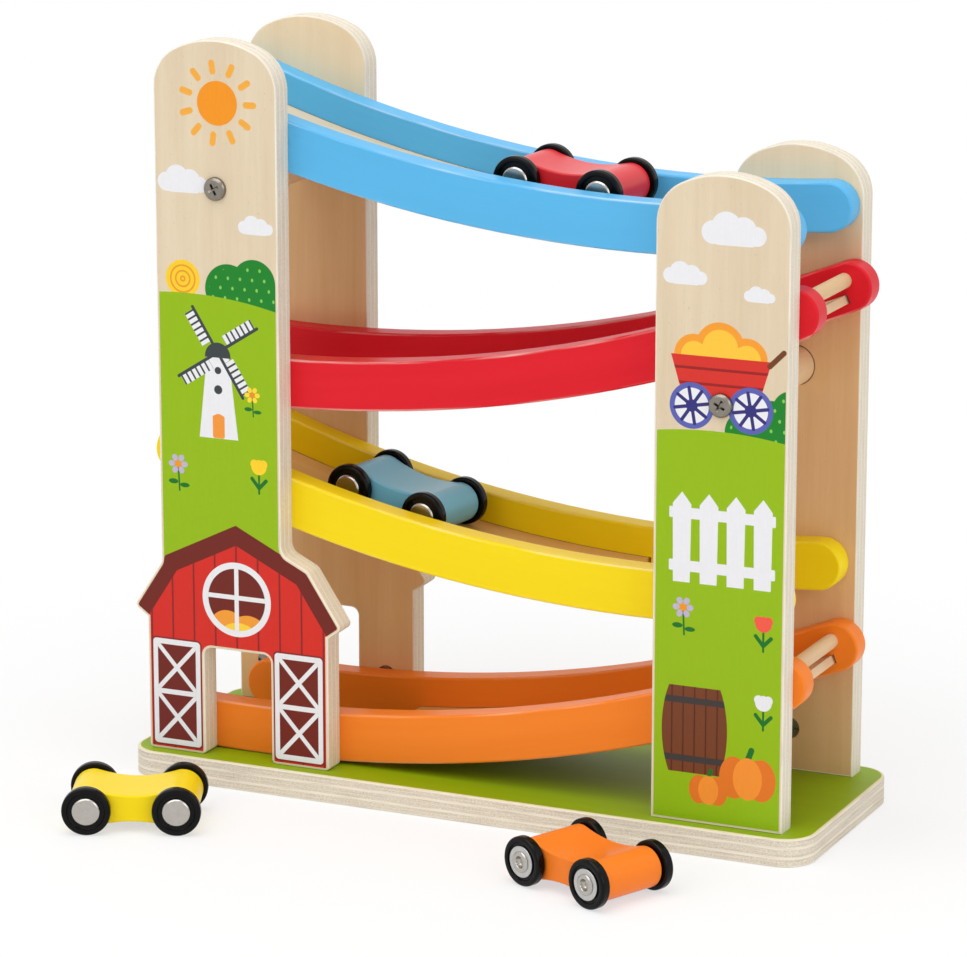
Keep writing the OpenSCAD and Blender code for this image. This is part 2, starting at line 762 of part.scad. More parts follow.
module yellow_car_body() { color(sun_yellow) place_yellow_car() car_body_blank(); }
module yellow_car_rivets() { color(steel) place_yellow_car() car_rivets(); }
module yellow_car_washers() { color(steel) place_yellow_car() car_washers(); }
module yellow_car_wheel_1() { color(wheel_black) place_yellow_car() car_wheel(1); }
module yellow_car_wheel_2() { color(wheel_black) place_yellow_car() car_wheel(2); }
module yellow_car_wheel_3() { color(wheel_black) place_yellow_car() car_wheel(3); }
module yellow_car_wheel_4() { color(wheel_black) place_yellow_car() car_wheel(4); }
module orange_car_body() { color(bright_orange) place_orange_car() car_body_blank(); }
module orange_car_rivets() { color(steel) place_orange_car() car_rivets(); }
module orange_car_washers() { color(steel) place_orange_car() car_washers(); }
module orange_car_wheel_1() { color(wheel_black) place_orange_car() car_wheel(1); }
module orange_car_wheel_2() { color(wheel_black) place_orange_car() car_wheel(2); }
module orange_car_wheel_3() { color(wheel_black) place_orange_car() car_wheel(3); }
module orange_car_wheel_4() { color(wheel_black) place_orange_car() car_wheel(4); }
module red_car_body() { color(signal_red) place_red_car() car_body_blank(); }
module red_car_rivets() { color(steel) place_red_car() car_rivets(); }
module red_car_washers() { color(steel) place_red_car() car_washers(); }
module red_car_wheel_1() { color(wheel_black) place_red_car() car_wheel(1); }
module red_car_wheel_2() { color(wheel_black) place_red_car() car_wheel(2); }
module red_car_wheel_3() { color(wheel_black) place_red_car() car_wheel(3); }
module red_car_wheel_4() { color(wheel_black) place_red_car() car_wheel(4); }
module grey_car_body() { color(smoke_blue) place_grey_car() car_body_blank(); }
module grey_car_rivets() { color(steel) place_grey_car() car_rivets(); }
module grey_car_washers() { color(steel) place_grey_car() car_washers(); }
module grey_car_wheel_1() { color(wheel_black) place_grey_car() car_wheel(1); }
module grey_car_wheel_2() { color(wheel_black) place_grey_car() car_wheel(2); }
module grey_car_wheel_3() { color(wheel_black) place_grey_car() car_wheel(3); }
module grey_car_wheel_4() { color(wheel_black) place_grey_car() car_wheel(4); }

base();
post_left_front();
post_left_back();
post_right_front();
post_right_back();
rail_blue_front();
rail_blue_back();
rail_red_front();
rail_red_back();
rail_yellow_front();
rail_yellow_back();
rail_orange_front();
rail_orange_back();
floor_blue();
floor_red();
floor_yellow();
floor_orange();
stop_blue();
stop_red();
stop_yellow();
stop_orange();
spacer_left();
spacer_right();
post_screws();
barrel_nuts();
base_bolts();
yellow_car_body();
yellow_car_rivets();
yellow_car_washers();
yellow_car_wheel_1();
yellow_car_wheel_2();
yellow_car_wheel_3();
yellow_car_wheel_4();
orange_car_body();
orange_car_rivets();
orange_car_washers();
orange_car_wheel_1();
orange_car_wheel_2();
orange_car_wheel_3();
orange_car_wheel_4();
red_car_body();
red_car_rivets();
red_car_washers();
red_car_wheel_1();
red_car_wheel_2();
red_car_wheel_3();
red_car_wheel_4();
grey_car_body();
grey_car_rivets();
grey_car_washers();
grey_car_wheel_1();
grey_car_wheel_2();
grey_car_wheel_3();
grey_car_wheel_4();
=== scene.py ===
# %% [markdown]
# # The click clack track
# A wooden toy on a white table: four painted ramps zigzag down between plywood posts,
# and four small cars with black wheels stand on it and beside it.
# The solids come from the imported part. This script gives them their finishes, and it
# makes the pieces whose fine shape shows close up: the eased posts, the cars and screws.

# %% The frame and the tools
import math

import bmesh
import bpy
from mathutils import Matrix, Vector


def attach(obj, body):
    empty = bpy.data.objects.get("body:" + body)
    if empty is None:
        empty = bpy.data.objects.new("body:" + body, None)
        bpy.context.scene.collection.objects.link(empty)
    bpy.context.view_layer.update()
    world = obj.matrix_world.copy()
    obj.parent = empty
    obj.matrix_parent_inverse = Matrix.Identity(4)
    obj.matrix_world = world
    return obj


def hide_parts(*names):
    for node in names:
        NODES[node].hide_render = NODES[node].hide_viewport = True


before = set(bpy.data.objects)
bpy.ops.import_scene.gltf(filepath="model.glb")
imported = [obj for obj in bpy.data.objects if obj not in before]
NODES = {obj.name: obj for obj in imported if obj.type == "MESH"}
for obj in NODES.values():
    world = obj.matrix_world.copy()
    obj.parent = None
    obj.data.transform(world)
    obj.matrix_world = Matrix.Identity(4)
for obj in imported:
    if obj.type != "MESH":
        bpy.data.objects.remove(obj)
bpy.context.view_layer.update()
MM = 0.001

# %% [markdown]
# These sizes are the toy's own, in millimetres, as its solids have them.

# %% Sizes that finishes and shapes share
BASE_HALF, BASE_CORNER, BASE_TOP = (170.0, 59.0), 15.0, 13.0
POST_THICK, POST_FRONT, POST_GAP_HALF = 12.0, 52.0, 40.0
RAMP_R, RAIL_HIGH, RAIL_THICK, CHANNEL = 672.4, 23.0, 12.0, 56.0
ROD_R, SCREW_Z = 9.0, {"left": 282.3, "right": 204.8}

# %% [markdown]
# Shader maths reads like ordinary sums here: a Wire is one socket of a material, and
# Python's own operators join wires and numbers into new nodes.

# %% Wires and finishes
def tint(red, green, blue):
    """A colour from its 0 to 255 parts, as the linear values that a shader works in."""
    parts = [v / 255 for v in (red, green, blue)]
    return [v / 12.92 if v <= 0.04045 else ((v + 0.055) / 1.055) ** 2.4 for v in parts] + [1]


class Wire:
    """One output socket of a finish."""

    def __init__(self, finish, socket):
        self.finish, self.socket = finish, socket

    def math(self, kind, *values, clamp=False):
        return self.finish.math(kind, self, *values, clamp=clamp)

    def __add__(self, other):
        return self.math("ADD", other)

    def __sub__(self, other):
        return self.math("SUBTRACT", other)

    def __rsub__(self, other):
        return self.finish.math("SUBTRACT", other, self)

    def __mul__(self, other):
        return self.math("MULTIPLY", other)

    def __truediv__(self, other):
        return self.math("DIVIDE", other)

    def __abs__(self):
        return self.math("ABSOLUTE")


class Finish:
    """A material in the making: a Principled shader and the nodes that feed it."""

    def __init__(self, name):
        self.material = bpy.data.materials.new(name)
        self.material.use_nodes = True
        tree = self.material.node_tree
        self.nodes, self.links = tree.nodes, tree.links
        self.shader = self.nodes["Principled BSDF"]

    def give(self, socket, value):
        if isinstance(value, Wire):
            self.links.new(value.socket, socket)
        else:
            socket.default_value = value

    def node(self, kind, settings=None, inputs=None, out=0):
        """Any node: its settings first, then its inputs by name or number."""
        made = self.nodes.new("ShaderNode" + kind)
        for name, value in (settings or {}).items():
            setattr(made, name, value)
        for name, value in (inputs or {}).items():
            self.give(made.inputs[name], value)
        return Wire(self, made.outputs[out])

    def math(self, kind, *values, clamp=False):
        return self.node("Math", {"operation": kind, "use_clamp": clamp}, dict(enumerate(values)))

    def vector(self, kind, *values, out=0):
        return self.node("VectorMath", {"operation": kind}, dict(enumerate(values)), out)

    def mix(self, share, first, second):
        """The first colour where share is 0 and the second where it is 1."""
        return self.node("Mix", {"data_type": "RGBA"}, {0: share, 6: first, 7: second}, 2)

    def place(self):
        """Where a point lies on the part, in millimetres."""
        metres = self.node("TexCoord", out="Object")
        return self.vector("MULTIPLY", metres, [1 / MM] * 3)

    def split(self, vector):
        made = self.node("SeparateXYZ", inputs={0: vector})
        return [made] + [Wire(self, made.socket.node.outputs[i]) for i in (1, 2)]

    def join(self, x, y, z):
        return self.node("CombineXYZ", inputs={0: x, 1: y, 2: z})

    def noise(self, place, scale, detail=2):
        """Soft noise from 0 to 1; scale holds its cycles in a millimetre along X, Y and Z."""
        stretched = self.vector("MULTIPLY", place, scale)
        return self.node("TexNoise", inputs={"Vector": stretched, "Scale": 1, "Detail": detail})

    def over(self, value, low, high):
        """0 where value is under low, 1 where it is over high, smooth between."""
        inputs = {0: value, 1: low, 2: high, 3: 0, 4: 1}
        return self.node("MapRange", {"interpolation_type": "SMOOTHSTEP"}, inputs)

    def bump(self, height, depth, strength=1):
        """A bump of that many millimetres from a height between 0 and 1."""
        return self.node("Bump", inputs={"Strength": strength, "Distance": depth * MM, "Height": height})

    def set(self, **inputs):
        names = {"colour": "Base Color", "rough": "Roughness", "metal": "Metallic", "normal": "Normal",
                 "shine": "Specular IOR Level"}
        for name, value in inputs.items():
            self.give(self.shader.inputs[names[name]], value)
        return self.material


# %% [markdown]
# Birch plywood is the toy's main wood. Its face is a pale rotary-cut veneer with soft
# broad tones, fine fibres and the short brown dashes that birch is known for.

# %% Birch and other woods
MIDDLING = 0.44


def fibres(finish, place, along):
    """Soft tones, fibres and flecks of a wood whose grain runs along axis 0, 1 or 2."""
    def scale(across, lengthwise):
        return [lengthwise if axis == along else across for axis in range(3)]
    broad = finish.noise(place, scale(0.09, 0.006), 2)
    middle = finish.noise(place, scale(0.55, 0.025), 3)
    fine = finish.noise(place, scale(3.2, 0.14), 2)
    flecks = finish.over(finish.noise(place, scale(2.1, 0.42), 1), 0.70, 0.78)
    return broad, middle, fine, flecks


def bare_wood(made, place, pale, deep, along, contrast=1.0):
    """The colour and the relief of sanded wood; MIDDLING is its mean place between two tones."""
    broad, middle, fine, flecks = fibres(made, place, along)
    tone = ((broad - 0.5) * 0.8 + (middle - 0.5) * 0.34 + (fine - 0.5) * 0.24) * contrast + MIDDLING
    base = made.mix(tone.math("ADD", 0, clamp=True), tint(*pale), tint(*deep))
    dashed = made.mix(flecks * 0.30, base, tint(*[v * 0.72 for v in deep]))
    return dashed, fine * 0.6 + middle * 0.4 - flecks * 0.5


def sanded(made, colour, relief):
    """Gives a finish the dull sheen of sanded wood."""
    made.set(colour=colour, rough=(relief - 0.4) * 0.16 + 0.55,
             normal=made.bump(relief, 0.05, 0.35), shine=0.25)
    return made.material


def wood(name, pale, deep, along, contrast=1.0):
    """A bare sanded wood between two tones."""
    made = Finish(name)
    return sanded(made, *bare_wood(made, made.place(), pale, deep, along, contrast))


def ply_layers(made, depth, first, thick, along_edge):
    """Colour and relief of a sheet's sanded edge, whose plies mirror each other about its middle.

    From the middle outward: a broad end-grain ply, a thin long-grain one, end grain, the face.
    Their places are those of a sheet of 13 mm, and a thinner sheet's plies are thinner in step.
    """
    wander = (made.noise(along_edge, [0.02, 0.02, 0.02], 1) - 0.5) * 0.3
    away = abs(depth - (first + thick / 2) + wander) * (13 / thick)
    pale_ply = made.over(away, 1.55, 1.75) - made.over(away, 2.75, 2.95) + made.over(away, 5.55, 5.75)
    seam_and_shadow_line = made.over(abs(away - 4.2), 0.28, 0.1) + made.over(away, 0.3, 0.1)
    streak = made.noise(along_edge, [0.05, 0.05, 1.4], 3)
    pores = made.noise(along_edge, [1.1, 1.1, 2.6], 3)
    long_grain = made.mix(streak, tint(243, 236, 220), tint(230, 220, 201))
    end_grain = made.mix(made.over(pores, 0.3, 0.7), tint(204, 191, 170), tint(234, 225, 209))
    plies = made.mix(pale_ply + seam_and_shadow_line * 0.35, end_grain, long_grain)
    shaded = made.mix(made.over(streak, 0.48, 0.75) * 0.5, plies, tint(182, 167, 144))
    return shaded, pores * 0.5 + pale_ply * 0.4


def ply_edge(name, first, thick):
    """The edge of a plywood sheet whose plies are stacked along Y."""
    made = Finish(name)
    x, y, z = made.split(made.place())
    layers, relief = ply_layers(made, y, first, thick, made.join(x, z, y))
    colour = made.mix(0.34, layers, tint(240, 230, 212))
    made.set(colour=colour, rough=0.62, normal=made.bump(relief, 0.06, 0.4), shine=0.25)
    return made.material


BIRCH = (232, 216, 190), (208, 186, 152)
BIRCH_FACE = wood("birch_face", *BIRCH, along=2)
ROD_WOOD = wood("beech_rod", (236, 206, 166), (212, 172, 126), along=1, contrast=1.3)

# %% [markdown]
# Two faces of the birch need a little more. The posts' inner faces are painted paler at the crown
# and darker and honey-coloured in the depth between the ramps, as painted shade warmed by bounced light,
# with a painted shadow line where the rod of the spacer goes in. The ramps' floors have such a painted shadow
# line along the rails.

# %% Inner faces and floors
def inner_birch(name, top, rod_x, rod_z):
    """Birch that turns darker and warmer below the crown as painted shade, with a painted shadow line round
    the end of a spacer rod.
    """
    made = Finish(name)
    place = made.place()
    z = made.split(place)[2]
    pale, relief = bare_wood(made, place, (248, 227, 192), (230, 202, 162), along=2)
    painted_warm_shade, _ = bare_wood(made, place, (236, 200, 152), (214, 170, 116), along=2)
    # The crown takes a paler copy of the birch and the depth a darker, warmer one: painted light and shade.
    colour = made.mix(made.over(top - z, 22, 62), pale, painted_warm_shade)
    flat = made.vector("MULTIPLY", place, [1, 0, 1])
    # A dark ring just round the rod's end: a painted shadow line where rod and sheet meet.
    from_rod = made.vector("DISTANCE", flat, [rod_x, 0, rod_z], out=1)
    seam_and_shadow_line = made.over(from_rod, ROD_R - 0.2, ROD_R + 0.05) - made.over(from_rod, ROD_R + 0.35, ROD_R + 0.7)
    return sanded(made, made.mix(seam_and_shadow_line * 0.85, colour, tint(74, 48, 28)), relief)


def floor_birch(node, pale, deep, high_side):
    """A ramp's floor, bare at its high end, which lies to the left (-1) or the right (1), with a painted
    shadow line along the rails.
    """
    made = Finish(node.name + "_birch")
    place = made.place()
    ends = [(node.matrix_world @ vertex.co).x / MM for vertex in node.data.vertices]
    middle, reach = (max(ends) + min(ends)) / 2, (max(ends) - min(ends)) / 2
    x, y, _ = made.split(place)
    bare, relief = bare_wood(made, place, *BARE_END, along=0)
    # Away from the high end the floor takes the given tones; the honey ones are painted warm light bounced
    # off the yellow and orange rails.
    wear_and_light, _ = bare_wood(made, place, pale, deep, along=0)
    colour = made.mix(made.over((x - middle) * high_side, reach - 14, reach - 6), wear_and_light, bare)
    # A dark line where the floor meets the rails: a painted shadow line.
    from_rail = abs(y) - CHANNEL / 2
    seam_and_shadow_line = made.over(from_rail, -0.7, -0.2) - made.over(from_rail, 0.1, 0.3)
    made.set(colour=made.mix(seam_and_shadow_line * 0.75, colour, tint(84, 56, 36)), rough=0.5,
             normal=made.bump(relief, 0.05, 0.35), shine=0.25)
    return made.material


FLOOR_BIRCH = (232, 214, 184), (206, 180, 144)
# The yellow and orange floors take a warmer tone: painted light bounced off their rails.
BOUNCE_WARMED_BIRCH = (236, 194, 124), (208, 156, 84)
BARE_END = (238, 212, 178), (214, 180, 138)
FLOORS = {
    "blue": (FLOOR_BIRCH, -1),
    "red": (FLOOR_BIRCH, 1),
    "yellow": (BOUNCE_WARMED_BIRCH, -1),
    "orange": (BOUNCE_WARMED_BIRCH, 1),
}
for ramp, (tones, high_side) in FLOORS.items():
    floor = NODES["floor_" + ramp]
    floor.data.materials[0] = floor_birch(floor, *tones, high_side)

# %% [markdown]
# The ramps and car bodies are sprayed with a satin paint that keeps a breath of the
# wood's grain. Each rail's grain follows its curve, and its eased edges are a little paler:
# rubbed where small hands and cars rub, and a painted highlight where light catches them.

# %% Paint
def painted(name, colour, rough=0.36, place=None, wear_and_light=None, rub_and_highlight=0, shine=0.13, grain=1.0):
    """Satin paint through which a share of the wood's grain shows, made paler where it is worn and where a
    highlight is painted.
    """
    made = Finish(name)
    where = place(made) if place else made.place()
    broad, middle, fine, _ = fibres(made, where, along=0)
    light = [min(1, v * 1.16 + 0.015) for v in tint(*colour)[:3]] + [1]
    dark = [v * 0.86 for v in tint(*colour)[:3]] + [1]
    tone = ((broad - 0.5) * 0.45 + (middle - 0.5) * 0.16 + (fine - 0.5) * 0.12) * grain + 0.5
    base = made.mix(tone.math("ADD", 0, clamp=True), dark, light)
    if wear_and_light:
        # The paler edges are partly wear and partly a painted highlight on the lit round-overs.
        rubbed_and_lit = wear_and_light(made, where) * made.over(middle, 0.35, 0.75)
        base = made.mix(rubbed_and_lit * rub_and_highlight, base, tint(250, 244, 232))
    orange_peel = made.noise(where, [1.1, 1.1, 1.1], 2)
    relief = fine * 0.5 + orange_peel * 0.5
    made.set(colour=base, rough=(middle - 0.5) * (0.14 * grain) + rough,
             normal=made.bump(relief, 0.035 * grain, 0.3), shine=shine)
    return made.material


RAMPS = {  # each one's centre of curvature (x, z), colour and the paling of its edges, partly rubbing and partly painted highlight
    "blue": ((87.0, 950.3), (88, 178, 228), 0.4),
    "red": ((-107.5, 864.4), (218, 16, 34), 0.5),
    "yellow": ((85.0, 784.9), (253, 215, 2), 0.36),
    "orange": ((-110.5, 697.0), (255, 130, 30), 0.24),
}


def along_ramp(centre):
    """Places measured along a ramp's curve, across it and outward from its centre."""
    def place(made):
        x, y, z = made.split(made.place())
        right, down = x - centre[0], centre[1] - z
        reach = (right * right + down * down).math("SQRT")
        return made.join(right.math("ARCTAN2", down) * RAMP_R, y, reach)
    return place


def rail_edges(made, where):
    """1 on the four long edges of a rail, over about a millimetre."""
    _, y, reach = made.split(where)
    high = abs(reach - RAMP_R) - (RAIL_HIGH / 2 - 1)
    wide = abs(abs(y) - (CHANNEL + RAIL_THICK) / 2) - (RAIL_THICK / 2 - 1)
    return made.over(high.math("MINIMUM", wide), -0.4, 0.5)


for name, (centre, colour, rub_and_highlight) in RAMPS.items():
    paint = painted("paint_" + name, colour, place=along_ramp(centre), wear_and_light=rail_edges, rub_and_highlight=rub_and_highlight)
    for side in ("front", "back"):
        NODES[f"rail_{name}_{side}"].data.materials[0] = paint
    NODES["stop_" + name].data.materials[0] = ROD_WOOD
for side in ("left", "right"):
    NODES["spacer_" + side].data.materials[0] = ROD_WOOD

# %% [markdown]
# Black lacquered wheels, bright steel rivets and dull zinc screws finish the hardware.

# %% Wheels and metals
def lacquer(name, colour):
    """A glossy coat with faint clouds and the scuffs of use."""
    made = Finish(name)
    place = made.place()
    cloud = made.noise(place, [0.12, 0.12, 0.12], 3)
    grit = made.noise(place, [2.4, 2.4, 2.4], 2)
    scuff = made.over(made.noise(place, [0.5, 3.0, 0.5], 3), 0.62, 0.8)
    base = made.mix(scuff * 0.08 + cloud * 0.03, tint(*colour), tint(84, 80, 76))
    made.set(colour=base, rough=cloud * 0.12 + scuff * 0.15 + 0.14,
             normal=made.bump(grit, 0.015, 0.2), shine=0.15)
    return made.material


def metal(name, bright, dull, rough, scratch):
    """A plated metal between two tones, finely scratched and pitted."""
    made = Finish(name)
    place = made.place()
    cloud = made.noise(place, [0.35, 0.35, 0.35], 3)
    lines = made.noise(place, [5.0, 0.4, 0.6], 2)
    pits = made.over(made.noise(place, [1.6, 1.6, 1.6], 2), 0.62, 0.75)
    base = made.mix(cloud * 0.6 + pits * 0.3, tint(*bright), tint(*dull))
    made.set(colour=base, metal=1.0, rough=(cloud - 0.5) * 0.2 + pits * 0.12 + rough,
             normal=made.bump(lines * scratch - pits * 0.5, 0.02, 0.35))
    return made.material


WHEEL_BLACK = lacquer("wheel_black", (3, 3, 4))
RIVET_STEEL = metal("rivet_steel", (188, 184, 178), (164, 159, 152), 0.22, 0.4)
WASHER_ZINC = metal("washer_zinc", (200, 200, 198), (168, 168, 166), 0.34, 0.6)
SCREW_ZINC = metal("screw_zinc", (154, 147, 137), (96, 90, 82), 0.28, 1.2)
for name in ("barrel_nuts", "base_bolts"):
    NODES[name].data.materials[0] = SCREW_ZINC

# %% [markdown]
# The posts are sawn from 12 mm plywood and their edges eased with sandpaper. Each is one
# outline, given a thickness and a small round-over, with a bare rim round its print.

# %% Sheets cut to an outline
def spot(x, y, z, turn=0, axis="Z"):
    """A place in millimetres, turned by some degrees about an axis."""
    return Matrix.Translation((x * MM, y * MM, z * MM)) @ Matrix.Rotation(math.radians(turn), 4, axis)


def arc(centre, radius, start, end, steps):
    """Points on a circle's arc between two angles in degrees, both ends included."""
    turn = [math.radians(start + (end - start) * i / steps) for i in range(steps + 1)]
    return [(centre[0] + radius * math.cos(a), centre[1] + radius * math.sin(a)) for a in turn]


def rounded(corners, steps=10):
    """A closed outline through corners (x, z, radius), each rounded or filled by its radius."""
    points = []
    for i, (x, z, radius) in enumerate(corners):
        here = Vector((x, z))
        before = (Vector(corners[i - 1][:2]) - here).normalized()
        after = (Vector(corners[(i + 1) % len(corners)][:2]) - here).normalized()
        if radius == 0:
            points.append((x, z))
            continue
        half = before.angle(after) / 2
        middle = here + (before + after).normalized() * radius / math.sin(half)
        first = here + before * radius / math.tan(half) - middle
        last = here + after * radius / math.tan(half) - middle
        sweep = first.angle_signed(last)
        for k in range(steps + 1):
            points.append(tuple(middle + Matrix.Rotation(-sweep * k / steps, 2) @ first))
    return points


def inset(outline, by):
    """An anticlockwise outline moved inward by some millimetres."""
    moved = []
    for i, point in enumerate(outline):
        here = Vector(point)
        into = (here - Vector(outline[i - 1])).normalized()
        out = (Vector(outline[(i + 1) % len(outline)]) - here).normalized()
        left_in, left_out = Vector((-into.y, into.x)), Vector((-out.y, out.x))
        mitre = left_in + left_out
        mitre = mitre / max(mitre.dot(left_in), 0.3)
        moved.append(tuple(here + mitre * by))
    return moved


def sheet(bm, outline, thick, ease, rim, place, steps=4, slots=(0, 1, 2)):
    """Adds a sheet with eased edges and a rim round its front, which is at Y = 0 and faces -Y.

    slots are the material numbers of the edge, of the rim and back, and of the front.
    """
    turns = [math.pi / 2 * k / steps for k in range(steps + 1)]
    profile = [(rim, 0.0)] if rim else []
    profile += [(ease * (1 - math.sin(t)), ease * (1 - math.cos(t))) for t in turns]
    profile += [(ease * (1 - math.cos(t)), thick - ease * (1 - math.sin(t))) for t in turns]
    rings = []
    for by, depth in profile:
        loop = inset(outline, by) if by else outline
        rings.append([bm.verts.new(place @ Vector((x * MM, depth * MM, z * MM))) for x, z in loop])
    count = len(outline)
    for number, (ring, beyond) in enumerate(zip(rings, rings[1:])):
        for i in range(count):
            j = (i + 1) % count
            face = bm.faces.new((ring[i], beyond[i], beyond[j], ring[j]))
            face.smooth = True
            face.material_index = slots[1] if rim and number == 0 else slots[0]
    front = bm.faces.new(rings[0])
    back = bm.faces.new(rings[-1][::-1])
    front.material_index, back.material_index = slots[2], slots[1]


def shape(name, bm, *materials, sharp=35):
    """Turns a finished bmesh into a mesh, with crisp edges where faces meet sharply."""
    bmesh.ops.remove_doubles(bm, verts=bm.verts, dist=0.001 * MM)
    bmesh.ops.recalc_face_normals(bm, faces=bm.faces)
    mesh = bpy.data.meshes.new(name)
    bm.to_mesh(mesh)
    bm.free()
    for material in materials:
        mesh.materials.append(material)
    mesh.set_sharp_from_angle(angle=math.radians(sharp))
    return mesh


def piece(name, mesh, body, *nodes, slot, at=Matrix()):
    """Stands a mesh on the toy as one piece that rides on a body in place of CAD nodes."""
    made = bpy.data.objects.new(name, mesh)
    bpy.context.scene.collection.objects.link(made)
    made.matrix_world = at
    even = made.modifiers.new("Even shading", "WEIGHTED_NORMAL")
    even.keep_sharp = True
    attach(made, body)
    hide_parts(*nodes)


POST_HALF, CROWN_R, SHOULDER_R = 31.25, 46.0, 20.0
SHOULDER_X = POST_HALF - SHOULDER_R
SHOULDER_DROP = CROWN_R - math.sqrt((CROWN_R - SHOULDER_R) ** 2 - SHOULDER_X ** 2)
LEAN = math.degrees(math.atan2(SHOULDER_X, CROWN_R - SHOULDER_DROP))
LEFT_X, RIGHT_X, BARN_X = -121.9, 125.2, -114.0
LEFT_TOP, RIGHT_TOP = BASE_TOP + 337.0, BASE_TOP + 293.0


def crown(x, top):
    """The right shoulder, the crown and the left shoulder of a post."""
    shoulder_z = top - SHOULDER_DROP
    right = arc((x + SHOULDER_X, shoulder_z), SHOULDER_R, 0, 90 - LEAN, 14)
    over = arc((x, top - CROWN_R), CROWN_R, 90 - LEAN, 90 + LEAN, 16)
    left = arc((x - SHOULDER_X, shoulder_z), SHOULDER_R, 90 + LEAN, 180, 14)
    return right + over[1:-1] + left


RIDGE, KNEE, EAVE = (0, 112.5), (37, 94.5), (54, 68.7)
WALL_X, WALL_TOP, DOOR_X, DOOR_TOP = 47, 63.7, 17.4, 52.2


def roof_at(away):
    """Height of the barn's roof above the base, at a distance from its middle."""
    inner, outer = (RIDGE, KNEE) if away < KNEE[0] else (KNEE, EAVE)
    return inner[1] + (outer[1] - inner[1]) * (away - inner[0]) / (outer[0] - inner[0])


def barn_side(side, away):
    """One side of the barn from its foot up to the post, which leaves the roof at a distance."""
    knee = [(*KNEE, 5)] if away < KNEE[0] else []
    up = [(WALL_X, 0, 2), (WALL_X, WALL_TOP, 0), (*EAVE, 2.5)] + knee + [(away, roof_at(away), 6)]
    return [(BARN_X + side * x, BASE_TOP + z, r) for x, z, r in up]


right_up = barn_side(1, LEFT_X + POST_HALF - BARN_X)
left_down = barn_side(-1, BARN_X - LEFT_X + POST_HALF)[::-1]
doorway = [(-DOOR_X, 0, 2), (-DOOR_X, DOOR_TOP, 4), (DOOR_X, DOOR_TOP, 4), (DOOR_X, 0, 2)]
doorway = [(BARN_X + x, BASE_TOP + z, r) for x, z, r in doorway]
# The crown's own points have no radius, so the corners beside them keep theirs
left_crown = [(x, z, 0) for x, z in crown(LEFT_X, LEFT_TOP)]
LEFT_OUTLINE = rounded(right_up + left_crown + left_down + doorway)
RIGHT_OUTLINE = crown(RIGHT_X, RIGHT_TOP) + [(RIGHT_X + side * POST_HALF, BASE_TOP) for side in (-1, 1)]

# %% [markdown]
# A boolean drills holes and cuts slots, as a drill or a chisel would.

# %% Cutting
def solid(name, bm):
    """Turns a finished bmesh into an object."""
    mesh = bpy.data.meshes.new(name)
    bmesh.ops.recalc_face_normals(bm, faces=bm.faces)
    bm.to_mesh(mesh)
    bm.free()
    made = bpy.data.objects.new(name, mesh)
    bpy.context.scene.collection.objects.link(made)
    return made


def carved(body, cutter):
    """The mesh of a solid with another cut out of it. Both solids are used up."""
    cut = body.modifiers.new("Cut", "BOOLEAN")
    cut.object, cut.operation, cut.solver, cut.use_self = cutter, "DIFFERENCE", "EXACT", True
    mesh = bpy.data.meshes.new_from_object(body.evaluated_get(bpy.context.evaluated_depsgraph_get()))
    bpy.data.objects.remove(body)
    bpy.data.objects.remove(cutter)
    return mesh

# %% [markdown]
# The pictures are screen-printed on the posts' fronts: flat inks over the bare birch,
# with the grain just showing through. They are plain farm motifs, each drawn from discs,
# bars and strokes whose places are in millimetres on the post.

